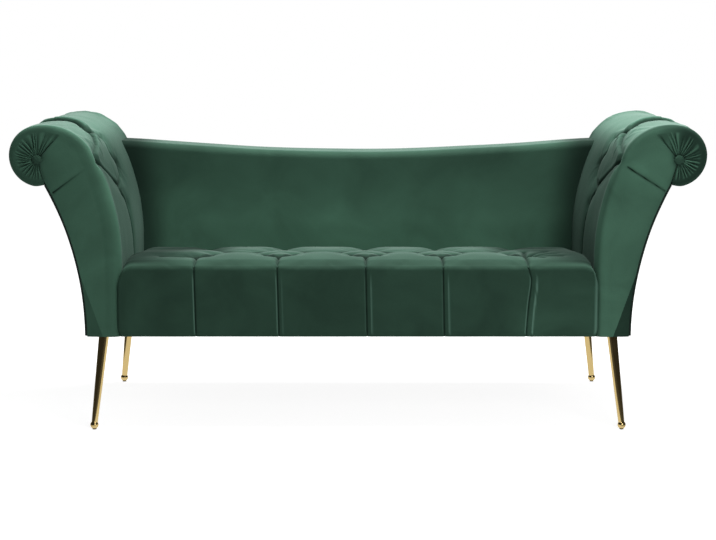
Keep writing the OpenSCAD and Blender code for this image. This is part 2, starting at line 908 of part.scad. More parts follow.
// The fan of pleats turns around the scroll from the inner top to the bottom
module fan_outline() {
    far = 2 * crest_r;
    intersection() {
        polygon(arm_outline(0, piping_w + gap, leg_h));
        translate(fan_c)
        polygon(concat([[0, 0]],
            [for (i = [0:8]) let (a = fan_turn - (fan_turn + under_turn + 1) * i / 8)
                far * [cos(a), sin(a)]]));
    }
}
module scroll_button_hole() {
    along_y(facing_y - 1, facing_y + fan_t + button_in)
    translate(fan_c)
    circle(d = scroll_button_d + 2 * gap);
}
module right_front_facing() {
    color("green")
    difference() {
        along_y(facing_y, rib_fy)
        polygon(arm_outline(0, piping_w + gap, leg_h));
        along_y(facing_y - 1, facing_y + fan_t)
        fan_outline();
        scroll_button_hole();
    }
}
module left_front_facing() {
    left()
    right_front_facing();
}
module right_rear_facing() {
    color("green")
    along_y(rib_ry, rear_y)
    polygon(arm_outline(0, 0, leg_h));
}
module left_rear_facing() {
    left()
    right_rear_facing();
}
module right_scroll_fan() {
    color("olivedrab")
    difference() {
        along_y(facing_y, facing_y + fan_t)
        fan_outline();
        scroll_button_hole();
    }
}
module left_scroll_fan() {
    left()
    right_scroll_fan();
}
module scroll_buttons() {
    color("darkolivegreen")
    both_sides()
    translate([fan_c[0], facing_y + fan_t + button_in, fan_c[1]])
    rotate([90, 0, 0])
    button(scroll_button_d, fan_t + button_in + 0.8 * facing_set);
}
// Covered button: a flat foot with a domed top of a third of the thickness
module button(d, t) {
    dome = t / 3;
    dome_r = (pow(d / 2, 2) + dome * dome) / (2 * dome);
    cylinder(d = d, h = t - dome);
    translate([0, 0, t - dome])
    intersection() {
        cylinder(d = d, h = dome);
        translate([0, 0, dome - dome_r])
        sphere(r = dome_r);
    }
}
module right_piping() {
    color("black")
    along_y(facing_y, facing_y + piping_w)
    polygon(outer_layer(0, piping_w, scroll_r + piping_w / 2));
}
module left_piping() {
    left()
    right_piping();
}
module seat_tuft_buttons() {
    color("darkolivegreen")
    seat_tuft_places()
    translate([0, 0, tuft_seat_z])
    button(button_d, button_t);
}
module arm_tuft_buttons() {
    color("darkolivegreen")
    both_sides()
    arm_tuft_places()
    translate([0, 0, tuft_seat_z])
    button(button_d, button_t);
}
module tufting_twine() {
    color("white")
    union() {
        twine_in_seat(0);
        both_sides()
        twine_in_arm(0);
    }
}
// Thin cloth closes the underside, with a way for each mounting plate
module dust_cover() {
    dust_x = foot_x - rib_out;
    color("black")
    difference() {
        union() {
            box_from([-dust_x, rib_fy + gap, leg_h], [dust_x, rib_ry - gap, rail_z - gap]);
            box_from([-inner_x + gap, front_y + cover_t + gap, leg_h],
                [inner_x - gap, rib_fy + gap, rail_z - gap]);
        }
        leg_places()
        cube([plate_w + 2 * plate_play, plate_w + 2 * plate_play, 4 * under_t],
            center = true);
    }
}

// ---- Legs ----
ball_z = glide_out + ball_d / 2;
// One leg, standing at the rear right
module leg() {
    rise = rail_z - plate_t - ball_z;
    sweep = norm([splay_x, splay_y]);
    long = norm([rise, sweep]);
    difference() {
        union() {
            translate([leg_x + splay_x, leg_y + splay_y, ball_z])
            sphere(d = ball_d);
            translate([leg_x + splay_x, leg_y + splay_y, ball_z])
            rotate([0, 0, atan2(-splay_y, -splay_x)])
            rotate([0, atan2(sweep, rise), 0])
            cylinder(d1 = leg_low_d, d2 = leg_top_d, h = long + leg_top_d / 2);
        }
        translate([leg_x, leg_y, rail_z - plate_t + plate_w / 2])
        cube(plate_w, center = true);
        glide_place()
        cylinder(d = glide_d + 2 * joint_play, h = glide_t);
    }
}
module glide_place() {
    translate([leg_x + splay_x, leg_y + splay_y, 0])
    children();
}
module rear_right_leg() {
    color("gold")
    leg();
}
module rear_left_leg() {
    color("gold")
    mirror([1, 0, 0])
    leg();
}
module front_right_leg() {
    color("gold")
    mirror([0, 1, 0])
    leg();
}
module front_left_leg() {
    color("gold")
    mirror([1, 0, 0])
    mirror([0, 1, 0])
    leg();
}
module leg_plates() {
    color("gray")
    difference() {
        leg_places()
        translate([-plate_w / 2, -plate_w / 2, -plate_t])
        cube([plate_w, plate_w, plate_t]);
        leg_screw_bores();
    }
}
// Each screw's head lies under the plate
module leg_screws() {
    color("dimgray")
    leg_places()
    plate_screw_places() {
        translate([0, 0, -plate_t])
        cylinder(d = leg_screw_d, h = leg_screw_l + plate_t);
        translate([0, 0, -plate_t - leg_screw_d / 2])
        cylinder(d = 2 * leg_screw_d, h = leg_screw_d / 2);
    }
}
module floor_glides() {
    color("black")
    both_sides()
    front_and_rear()
    glide_place()
    cylinder(d = glide_d, h = glide_t);
}
module rib_screws() {
    color("silver")
    both_sides()
    rib_screw_places()
    rib_screw(0);
}

front_seat_rail();
rear_seat_rail();
left_seat_rail();
right_seat_rail();
seat_cross_rails();
corner_posts();
seat_frame_dowels();
left_front_rib();
left_rear_rib();
right_front_rib();
right_rear_rib();
left_arm_stretchers();
right_arm_stretchers();
left_scroll_tube();
right_scroll_tube();
left_arm_board();
right_arm_board();
back_posts();
back_top_rail();
back_lower_rails();
back_webbing();
seat_springs();
spring_clips();
seat_felt();
seat_foam();
border_foam();
back_foam();
left_arm_foam();
right_arm_foam();
seat_cover();
back_cover();
outer_back_panel();
left_arm_cover();
right_arm_cover();
left_outer_arm_panel();
right_outer_arm_panel();
left_front_facing();
right_front_facing();
left_rear_facing();
right_rear_facing();
left_scroll_fan();
right_scroll_fan();
scroll_buttons();
left_piping();
right_piping();
seat_tuft_buttons();
arm_tuft_buttons();
tufting_twine();
dust_cover();
front_left_leg();
front_right_leg();
rear_left_leg();
rear_right_leg();
leg_plates();
leg_screws();
floor_glides();
rib_screws();
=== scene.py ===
import json
import math
from math import cos, exp, pi, sin
import bmesh
import bpy
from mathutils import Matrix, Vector, noise


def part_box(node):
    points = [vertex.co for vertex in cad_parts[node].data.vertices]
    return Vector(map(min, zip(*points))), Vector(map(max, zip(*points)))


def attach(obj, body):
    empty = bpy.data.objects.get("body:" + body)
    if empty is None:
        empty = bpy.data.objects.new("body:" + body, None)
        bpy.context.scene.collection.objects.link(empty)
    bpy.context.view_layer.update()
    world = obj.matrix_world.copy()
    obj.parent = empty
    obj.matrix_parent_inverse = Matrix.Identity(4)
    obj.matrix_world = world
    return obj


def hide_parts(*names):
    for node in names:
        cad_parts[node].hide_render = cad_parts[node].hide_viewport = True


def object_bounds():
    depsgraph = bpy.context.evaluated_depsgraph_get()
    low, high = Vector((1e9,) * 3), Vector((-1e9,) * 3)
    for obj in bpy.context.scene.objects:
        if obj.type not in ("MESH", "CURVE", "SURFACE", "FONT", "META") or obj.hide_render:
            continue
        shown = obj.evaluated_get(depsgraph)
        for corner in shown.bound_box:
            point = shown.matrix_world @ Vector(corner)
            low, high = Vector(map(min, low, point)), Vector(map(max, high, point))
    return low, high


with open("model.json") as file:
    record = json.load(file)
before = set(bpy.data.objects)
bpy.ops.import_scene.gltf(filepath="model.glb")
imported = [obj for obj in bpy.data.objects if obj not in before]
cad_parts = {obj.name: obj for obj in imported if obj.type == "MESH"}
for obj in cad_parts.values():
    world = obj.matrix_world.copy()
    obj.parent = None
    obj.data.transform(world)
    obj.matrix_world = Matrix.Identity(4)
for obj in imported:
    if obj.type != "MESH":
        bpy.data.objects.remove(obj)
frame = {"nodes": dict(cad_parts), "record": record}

cad_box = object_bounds()

# ---- Camera, floor and light ----
# The couch stands on a plain pale floor that runs into a white backdrop. A wide soft
# lamp hangs over it, with a weaker one in front.
view_back = 4.782             # camera's distance in front of the couch
view_height = 1.1065
view_down = math.radians(8.024)
view_lens = 93.28
room_light = 0.20
dark_room = 0.03              # what the metal mirrors from behind the camera
floor_glow = 0.88
floor_half, floor_front, floor_back = 6.0, -1.5, 9.0


def add(name, data):
    """Puts a mesh, lamp or camera into the scene."""
    obj = bpy.data.objects.new(name, data)
    bpy.context.collection.objects.link(obj)
    return obj


def lamp(name, place, aim, width, height, watts):
    """A soft rectangular lamp at a place, turned towards a point."""
    data = bpy.data.lights.new(name, "AREA")
    data.shape = "RECTANGLE"
    data.size, data.size_y = width, height
    data.energy = watts
    obj = add(name, data)
    obj.location = place
    obj.rotation_euler = (Vector(aim) - Vector(place)).to_track_quat("-Z", "Y").to_euler()


scene = bpy.context.scene
scene.view_settings.view_transform = "Standard"
camera = add("camera", bpy.data.cameras.new("camera"))
camera.data.sensor_width = 36
camera.data.lens = view_lens
camera.location = (0, cad_box[0][1] - view_back, view_height)
camera.rotation_euler = (pi / 2 - view_down, 0, 0)
scene.camera = camera
lamp("top_lamp", (0.25, 0.0, 3.0), (0, 0.0, 0.4), 2.2, 1.4, 122)
lamp("front_lamp", (1.5, -3.8, 1.9), (0, 0, 0.45), 1.8, 1.6, 42)


class Wire:
    """A socket in a material's nodes. Arithmetic on wires adds Math nodes."""

    def __init__(self, tree, socket=None):
        self.tree = tree
        self.socket = socket

    def node(self, kind, sockets=None, out=0, **settings):
        """Adds a node: its settings first, then values or wires for its sockets."""
        made = self.tree.nodes.new(kind)
        for name, value in settings.items():
            setattr(made, name, value)
        for name, value in (sockets or {}).items():
            if isinstance(value, Wire):
                self.tree.links.new(value.socket, made.inputs[name])
            else:
                made.inputs[name].default_value = value
        return Wire(self.tree, made.outputs[out])

    def surface(self, output="ShaderNodeOutputMaterial"):
        """Makes this shader the finish of its material."""
        end = self.tree.nodes.new(output)
        self.tree.links.new(self.socket, end.inputs["Surface"])

    def maths(self, operation, *terms):
        return self.node("ShaderNodeMath", dict(enumerate(terms)), operation=operation)

    def mix(self, first, second):
        """A colour that goes from the first to the second as this wire goes from 0 to 1."""
        return self.node("ShaderNodeMix", {0: self, 6: first, 7: second}, 2, data_type="RGBA")

    def noise(self, scale, detail=2.0, distortion=0.0):
        return self.node("ShaderNodeTexNoise", {
            "Vector": self, "Scale": scale, "Detail": detail, "Distortion": distortion})

    def axis(self, name):
        """One coordinate of a place."""
        return self.node("ShaderNodeSeparateXYZ", {"Vector": self}, name)

    def fade(self, start, end, low, high, kind="SMOOTHSTEP"):
        """Goes from low to high as this wire goes from start to end."""
        return self.node("ShaderNodeMapRange", {
            "Value": self, "From Min": start, "From Max": end, "To Min": low, "To Max": high},
            interpolation_type=kind)

    def bump(self, strength, distance):
        """Raises the surface where this wire is high."""
        return self.node("ShaderNodeBump", {
            "Strength": strength, "Distance": distance, "Height": self})

    def at_least(self, other):
        return self.maths("MAXIMUM", self, other)

    def at_most(self, other):
        return self.maths("MINIMUM", self, other)

    def __abs__(self):
        return self.maths("ABSOLUTE", self)

    def __add__(self, other):
        return self.maths("ADD", self, other)

    def __sub__(self, other):
        return self.maths("SUBTRACT", self, other)

    def __rsub__(self, other):
        return self.maths("SUBTRACT", other, self)

    def __mul__(self, other):
        return self.maths("MULTIPLY", self, other)

    def __pow__(self, other):
        return self.maths("POWER", self, other)

    __radd__ = __add__
    __rmul__ = __mul__


def new_material(name):
    """An empty material, and the place on the object as a wire to build its nodes from."""
    material = bpy.data.materials.new(name)
    material.use_nodes = True
    material.node_tree.nodes.clear()
    return material, Wire(material.node_tree).node("ShaderNodeTexCoord", out="Object")


def rays(wire):
    """Whether a ray comes straight from the camera, and whether something mirrors it."""
    return [wire.node("ShaderNodeLightPath", out=ray) for ray in ("Is Camera Ray", "Is Glossy Ray")]


def grey(level):
    return (level, level, level, 1)


floor_material, place = new_material("floor_white")
seen, mirrored = rays(place)
along_y = place.axis("Y")
# Painted reflections for the gold legs: seen in reflections the floor is near black, and glows only
# under and behind the couch, not in front of it or far out to the sides.
leg_reflection_glow = (abs(place.axis("X")) - 0.5 * (along_y + 0.35)).fade(0.66, 0.84, 1.0, 0.03)
leg_reflection_glow = leg_reflection_glow * along_y.fade(-0.60, -0.44, 0.03, 1.0)
place.node("ShaderNodeBsdfPrincipled", {
    "Base Color": mirrored.mix(grey(0.60), grey(0.04)), "Roughness": 0.9,
    "Specular IOR Level": 0.1, "Emission Strength": floor_glow,
    "Emission Color": seen.at_least(mirrored * leg_reflection_glow).mix(grey(0.0), grey(1.0))}).surface()
floor_mesh = bpy.data.meshes.new("floor")
floor_mesh.from_pydata([(-floor_half, floor_front, 0), (floor_half, floor_front, 0),
                        (floor_half, floor_back, 0), (-floor_half, floor_back, 0)],
                       [], [(0, 1, 2, 3)])
floor_mesh.materials.append(floor_material)
floor = add("floor", floor_mesh)

world = bpy.data.worlds.new("studio")
world.use_nodes = True
world.node_tree.nodes.clear()
wire = Wire(world.node_tree)
seen, mirrored = rays(wire)
behind = wire.node("ShaderNodeTexCoord", out="Generated").axis("Y").fade(0.55, 0.9, dark_room, 1.0)
wire.node("ShaderNodeBackground", {
    "Color": grey(1.0),
    "Strength": room_light * (1 - mirrored) * (1 - seen) + mirrored * behind + seen,
}).surface("ShaderNodeOutputWorld")
scene.world = world


# ---- Arm covers ----
# Each arm is padded with foam over a bent board and covered in one piece of velvet, which is
# buttoned in a diamond on the inner side, turns round the front edge and closes in pleats
# on the end of the scroll. A short pleat on the facing takes in the fullness.
arm_lo, arm_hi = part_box("right_rear_facing")
inner_x, under_z = arm_lo.x, arm_lo.z
facing_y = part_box("right_front_facing")[0].y
cover_rear_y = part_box("right_arm_cover")[1].y
sides = ((1, "right"), (-1, "left"))
scroll_r = 0.076
crest_r = 0.143
crest_turn = math.radians(79)
under_turn = math.radians(99)
flare_rise = 0.202
foot_x = inner_x + 0.093
button_gap = 0.009            # pleats end this far from the middle of the fan
edge_soft, edge_tighter = 0.022, 0.010    # the front edge's radius, and how much less on top
cover_t = 0.003
swell_steps = 20


def ray(turn):
    return Vector((cos(turn), sin(turn)))


scroll_c = Vector((arm_hi.x - scroll_r, arm_hi.z - scroll_r))
crest_c = scroll_c - (crest_r - scroll_r) * ray(crest_turn)
flare_z = under_z + flare_rise
flare_dx, flare_dz = crest_c.x - inner_x, crest_c.y - flare_z
flare_r = (flare_dx ** 2 + flare_dz ** 2 - crest_r ** 2) / (2 * (flare_dx - crest_r))
flare_c = Vector((inner_x + flare_r, flare_z))
flare_turn = math.atan2(crest_c.y - flare_c.y, crest_c.x - flare_c.x)
bends = [(flare_c, flare_r, pi, flare_turn), (crest_c, crest_r, flare_turn, crest_turn),
         (scroll_c, scroll_r, crest_turn, -under_turn)]
arm_length = flare_rise + sum(radius * (start - end) for _, radius, start, end in bends)
join = scroll_c + scroll_r * ray(-under_turn)
outer_r = ((join.x - foot_x) ** 2 + (join.y - under_z) ** 2) / (2 * (join.x - foot_x))
outer_c = Vector((foot_x + outer_r, under_z))
outer_end = math.atan2(join.y - outer_c.y, join.x - outer_c.x)
fan_c = scroll_c + Vector((0.006, -0.009))
fan_start = math.radians(130)
fan_foot = join - 0.012 * ray(-under_turn)
fan_end = math.atan2(*(fan_foot - fan_c).yx)


def arm_side(u):
    """Point and outward direction at length u up the inner side and over the scroll."""
    if u <= flare_rise:
        return Vector((inner_x, under_z + u)), Vector((-1, 0))
    u -= flare_rise
    for centre, radius, start, end in bends:
        length = radius * (start - end)
        if u <= length + 1e-6:
            break
        u -= length
    out = ray(start + (end - start) * min(u / length, 1))
    return centre + radius * out, out


def steps(start, end, count):
    return [start + (end - start) * i / count for i in range(count + 1)]


def ease(value):
    """A smooth step from 0 to 1."""
    value = min(max(value, 0), 1)
    return value * value * (3 - 2 * value)


def line_length(points):
    return sum((b - a).length for a, b in zip(points, points[1:]))


def along(points, fraction):
    """The point at a fraction of the length of a line of points."""
    left = fraction * line_length(points)
    for a, b in zip(points, points[1:]):
        length = (b - a).length
        if left <= length:
            return a.lerp(b, left / length)
        left -= length
    return points[-1].copy()


def off_line(p, a, b):
    """The way to p from the line between a and b, and the fraction of the line passed there."""
    span = b - a
    t = min(max((p - a).dot(span) / span.length_squared, 0), 1)
    return p - a - t * span, t


def quilt(p, tufts, seams, seed, crown, level, seam_depth, tuft_depth, seam_width):
    """A buttoned cover at p: its height over the plain surface, and its fold shade, how dark the
    velvet is drawn in its seams and tufts.
    A seam is two ends, its strength at each, and how far it pulls."""
    puff, fold = 1.0, 0.0
    for a, b, near, far, reach in seams:
        way, t = off_line(p, a, b)
        strength = near + (far - near) * t
        puff *= 1 - strength * exp(-way.length / reach)
        fold = max(fold, strength * exp(-(way.length / seam_width) ** 2))
    dip, gather = 0.0, 0.0
    for i, tuft in enumerate(tufts):
        arm = p - tuft
        dip = max(dip, exp(-(arm.length / 0.021) ** 1.5))
        turn = math.atan2(arm.y, arm.x)
        gather += (sin(7 * turn + 2.1 * i + seed) + 0.6 * sin(11 * turn + 1.3 * i)) \
            * (arm.length / 0.03) * exp(-arm.length / 0.022)
    wander = noise.noise(Vector((p.x * 13, p.y * 13, seed * 3.7)))
    height = crown * (puff - level) - seam_depth * fold - tuft_depth * dip
    return height + 0.0011 * gather + 0.0009 * wander, max(fold, dip)


for fan_u in steps(flare_rise, arm_length, 900):
    edge = arm_side(fan_u)[0]
    if math.atan2(*(edge - fan_c).yx) < fan_start and edge.y > fan_c.y:
        break
facing_far = [outer_c + (outer_r + 0.005) * ray(pi + (outer_end - pi) * t)
              for t in steps(0, 1, 24)[:-1]] + [fan_foot]
foot_share = line_length(facing_far)
facing_far += [fan_c + button_gap * ray(-turn)
               for turn in steps(-fan_end, 2 * pi - fan_start, 12)]
foot_share /= line_length(facing_far)

crest_tuft = Vector((0.5496, -0.115))
front_tuft = Vector((0.4650, -0.315))
rear_tuft = Vector((0.4300, 0.0))
low_tuft = Vector((0.3662, -0.095))
arm_tufts = [crest_tuft, front_tuft, rear_tuft, low_tuft]
upper_knee, upper_turn = Vector((0.512, -0.025)), Vector((0.470, -0.035))
side_knee, foot_knee = Vector((0.400, -0.02)), Vector((0.31, -0.05))
arm_seams = [
    (crest_tuft, upper_knee, 1.0, 0.95, 0.014),
    (upper_knee, upper_turn, 0.95, 0.9, 0.014),
    (upper_turn, rear_tuft, 0.9, 0.85, 0.016),
    (low_tuft, front_tuft, 0.75, 0.85, 0.022),
    (low_tuft, side_knee, 1.0, 0.9, 0.016),
    (side_knee, rear_tuft, 0.9, 0.85, 0.016),
    (low_tuft, foot_knee, 1.0, 1.0, 0.012),
    (foot_knee, Vector((0.16, -0.02)), 1.0, 0.8, 0.010),
    (front_tuft, Vector((0.462, -0.352)), 0.8, 0.0, 0.012),
]
pleat_line = [Vector(p) for p in (
    (0.89, 0.01), (0.75, -0.03), (0.66, -0.05), (0.607, -0.065), (0.5496, -0.115),
    (0.526, -0.15), (0.502, -0.22), (0.487, -0.295), (0.465, -0.315))]
pleat_full = (0.55, 0.75, 1.0, 1.0, 0.85, 0.65, 0.45, 0.35)
lip_height, lip_back, lip_spread = 0.0070, 0.016, 0.020    # swelling in front of the pleat
pleat_depth, hollow_depth = 0.0130, 0.0120
deepest = 0.024               # the cover never dips further into the foam
pleats = 21
facing_pleats = {1: (Vector((0.6640, 0.7214)), Vector((0.7945, 0.6388)), 1.1, 0.6),
                 -1: (Vector((0.7050, 0.6950)), Vector((0.7903, 0.6336)), 0.0, 1.1)}


def edge_roll(u):
    """Radius of the soft front edge at length u."""
    return edge_soft - edge_tighter * ease((u - 0.40) / 0.16)


def arm_height(u, y, seed):
    """The cover on the arm's inner side and scroll: its height, and its fold shade, which is
    negative for a painted highlight.
    """
    p = Vector((u, y))
    height, fold = quilt(p, arm_tufts, arm_seams, seed, crown=0.014, level=0.72,
                         seam_depth=0.0070, tuft_depth=0.0050, seam_width=0.0048)
    nearest = 1.0
    for a, b, full in zip(pleat_line, pleat_line[1:], pleat_full):
        distance = off_line(p, a, b)[0].length
        if distance < nearest:
            nearest, strength = distance, full
            front = (b - a).cross(p - a) < 0
    if front:
        height += strength * lip_height * exp(-((nearest - lip_back) / lip_spread) ** 2)
        height -= strength * pleat_depth * exp(-nearest / 0.0030)
        fold = max(fold, strength * exp(-nearest / 0.0024))
        # A painted highlight runs along the swelling just in front of the pleat.
        fold -= 0.6 * strength * exp(-((nearest - 0.008) / 0.003) ** 2) * (fold < 0.2)
    else:
        height -= strength * hollow_depth * exp(-nearest / 0.020)
        # Painted shade fills the hollow behind the pleat.
        fold = max(fold, 1.15 * strength * exp(-nearest / 0.012))
    if height < 0:
        height = deepest * math.tanh(height / deepest)
    return height, fold


def fan_shade(turn, side):
    """Painted shade over the pleated fan, heavier on the right arm's fan except in its upper inner
    part.
    """
    return 0.42 + 0.22 * (1 + side) * ease((1.9 - turn) / 0.7)


def fan_height(r, turn, side, seed):
    """The gathered fan at distance r and turn about its button."""
    wedge = (fan_start - fan_end) / pleats
    place = (fan_start - turn) / wedge
    place += 0.8 * noise.noise(Vector((place * 0.6, seed * 5.3, r * 14)))
    number = math.floor(place)
    ridge = place - number
    size = 0.8 + 0.9 * noise.noise(Vector((number * 1.7, seed * 2.9, 0.5)))
    far = 0.084 + 0.060 * noise.noise(Vector((number * 2.3, seed * 7.1, 1.5)))
    full = ease((r - 0.005) / 0.010) * (1 - ease((r - 0.5 * far) / (0.7 * far)))
    line = exp(-min(ridge, 1 - ridge) * r * wedge / (0.0013 + 0.016 * r))
    # Painted shade over the whole fan, darkest in the lines between the pleats.
    fold = max(fan_shade(turn, side), full * min(max(0, 0.55 + 0.7 * size), 1) * line)
    # A painted highlight runs along the top of each pleat.
    top = exp(-(((ridge - 0.3) * r * wedge) / (0.0010 + 0.010 * r)) ** 2)
    return (0.0058 * size * full * (sin(pi * ridge ** 0.5) - 0.5),
            fold - 0.9 * full * size * top)


def facing_height(p, side, seed):
    """The velvet on the facing at p: its height, and its fold shade."""
    arm = p - fan_c
    turn = math.atan2(arm.y, arm.x)
    height, fold = 0.0, 0.0
    if fan_end - 0.05 < turn < fan_start + 0.05:
        height, fold = fan_height(arm.length, turn, side, seed)
    edge = min(abs(turn - fan_start), abs(turn - fan_end)) * arm.length
    if arm.length < 0.11:
        height -= 0.0022 * exp(-edge / 0.003)
        fold = max(fold, 0.6 * exp(-edge / 0.003))
    a, b, near, far = facing_pleats[side]
    way, t = off_line(p, a, b)
    distance, strength = way.length, near + (far - near) * t
    above = (b - a).cross(p - a) > 0
    height -= 0.0045 * strength * exp(-distance / (0.0015 if above else 0.0032))
    height += 0.0016 * strength * exp(-((distance - 0.008) / 0.012) ** 2) * above
    height -= 0.006 * exp(-(arm.length / 0.02) ** 2)
    fold = max(fold, 2.0 * strength * exp(-distance / 0.0012))
    return height + 0.0006 * noise.noise(Vector((p.x * 16, p.y * 16, seed))), fold


def arm_y(roll):
    """Places along the depth of the arm, from the rear to the front edge, close at the pleats."""
    places = steps(cover_rear_y - 0.004, 0.03, 45) + steps(0.03, -0.15, 95)[1:]
    return places + steps(-0.15, facing_y + roll, 55)[1:]


def arm_column(u, side, seed, moved):
    """One line of the arm's cover, from the rear, round the front edge, across the facing:
    its points, each with its fold shade."""
    edge, out = arm_side(u)
    roll = edge_roll(u)
    line = [(edge - 0.02 * out, cover_rear_y, 0), (edge - 0.004 * out, cover_rear_y, 0)]
    fade = ease((arm_length - u) / 0.03)
    for y, move in zip(arm_y(roll), moved):
        height, fold = arm_height(u, y, seed)
        rear = ease((cover_rear_y - y) / 0.02)
        line.append((edge + height * fade * rear * out + move.xz, y + move.y, fold))
    for turn in steps(0, pi / 2, 9)[1:]:
        y = facing_y + roll - roll * turn
        height, fold = arm_height(u, y, seed)
        height *= fade * (1 - 0.6 * ease(turn / (pi / 2)))
        # The fan's painted shade carries on round the front edge of the scroll.
        shade = fan_shade(math.atan2(*(edge - fan_c).yx), side) * ease((u - fan_u) / 0.06)
        fold = max(fold, shade * ease(turn / 1.2))
        line.append((edge - (roll - (roll + height) * cos(turn)) * out,
                     facing_y + roll - (roll + height) * sin(turn), fold))
    start = edge - roll * out
    if u < fan_u:
        end = along(facing_far, u / fan_u)
    else:
        end = fan_c + button_gap * (start - fan_c).normalized()
    reach = (end - start).length
    for part in steps(0, 1, 84)[1:]:
        p = start.lerp(end, part)
        passed = part * reach
        blend = ease(passed / 0.02)
        crown = 0.0028 * (1 - exp(-passed / 0.03)) \
            * (1 - exp(-(1 - part) * reach / 0.02))
        rise, crease = facing_height(p, side, seed)
        pile = ease(passed / 0.006)
        line.append((p, facing_y - height * (1 - blend) - rise * blend - crown,
                     fold * (1 - pile) + crease * pile))
    return [(side * p.x, y, p.y, fold) for p, y, fold in line]


def folded(mesh, folds):
    """Keeps each point's fold shade for the velvet: above 0 it draws the velvet darker, as crushed
    pile and painted shade, and below 0 it draws a painted highlight.
    """
    mesh.attributes.new("fold", "FLOAT", "POINT").data.foreach_set("value", folds)
    mesh.shade_smooth()


def skin(name, rows, flip):
    """A skin through rows of points. A fourth number in a point is its fold shade."""
    across = len(rows[0])
    faces = []
    for i in range(len(rows) - 1):
        for a in range(i * across, (i + 1) * across - 1):
            face = (a, a + 1, a + across + 1, a + across)
            faces.append(face[::-1] if flip else face)
    mesh = bpy.data.meshes.new(name)
    mesh.from_pydata([p[:3] for row in rows for p in row], [], faces)
    folded(mesh, [p[3] if len(p) > 3 else 0 for row in rows for p in row])
    return add(name, mesh)


def swell(pinned, across, down, slack, limit):
    """Blows a velvet cover up over its filling as cloth, and returns how far each point moves.
    pinned gives the cover's point at a place across and down, and how firmly it is held there
    by stitches, tacks or buttons."""
    rows = [[pinned(a, d) for d in down] for a in across]
    sheet = skin("swelling", [[point for point, _ in row] for row in rows], True)
    group = sheet.vertex_groups.new(name="held")
    for i, (_, held) in enumerate(cell for row in rows for cell in row):
        group.add([i], min(max(held, 0), 1), "REPLACE")
    cloth = sheet.modifiers.new("cloth", "CLOTH").settings
    cloth.quality = 5
    cloth.mass = 0.2
    cloth.tension_stiffness = cloth.compression_stiffness = 12
    cloth.bending_stiffness = 0.4
    cloth.vertex_group_mass = "held"
    cloth.use_pressure = True
    cloth.uniform_pressure_force = 3.0
    cloth.shrink_min = -slack
    cloth.effector_weights.gravity = 0
    for step in range(swell_steps):
        scene.frame_set(step + 1)
    shaped = sheet.evaluated_get(bpy.context.evaluated_depsgraph_get()).data.vertices
    moved = [end.co - start.co for start, end in zip(sheet.data.vertices, shaped)]
    moved = [limit * math.tanh(move.length / limit) * move.normalized() for move in moved]
    bpy.data.objects.remove(sheet)
    scene.frame_set(1)
    return [moved[i * len(down):(i + 1) * len(down)] for i in range(len(across))]


def smooth_taps(place, count):
    """The four neighbours of a place in a row of samples, and their shares."""
    cell = min(max(int(place), 0), count - 1)
    t = place - cell
    shares = ((1 - t) ** 3, 3 * t ** 3 - 6 * t * t + 4, -3 * t ** 3 + 3 * t * t + 3 * t + 1, t ** 3)
    return [(min(max(cell - 1 + k, 0), count - 1), share / 6) for k, share in enumerate(shares)]


def resample(moved, across, down):
    """Smooth moves at finer places, given as places in the coarse rows and columns."""
    still = Vector((0, 0, 0))
    rows = []
    for place in across:
        taps = smooth_taps(place, len(moved))
        rows.append([sum((share * moved[i][j] for i, share in taps), still)
                     for j in range(len(moved[0]))])
    taps = [smooth_taps(place, len(moved[0])) for place in down]
    return [[sum((share * row[j] for j, share in tap), still) for tap in taps] for row in rows]


def thicken(obj, thickness=cover_t):
    layer = obj.modifiers.new("layer", "SOLIDIFY")
    layer.thickness = thickness
    layer.offset = -1
    return obj


ground = (0.044, 0.104, 0.070)
pile_tips = (0.122, 0.250, 0.188)
pale_tips = (0.28, 0.36, 0.32)
# The near-black that crushed pile and painted shade draw the velvet towards.
crush_and_shade_black = (0.004, 0.009, 0.007, 1)


def shaded(colour, level):
    return tuple(level * c for c in colour) + (1,)


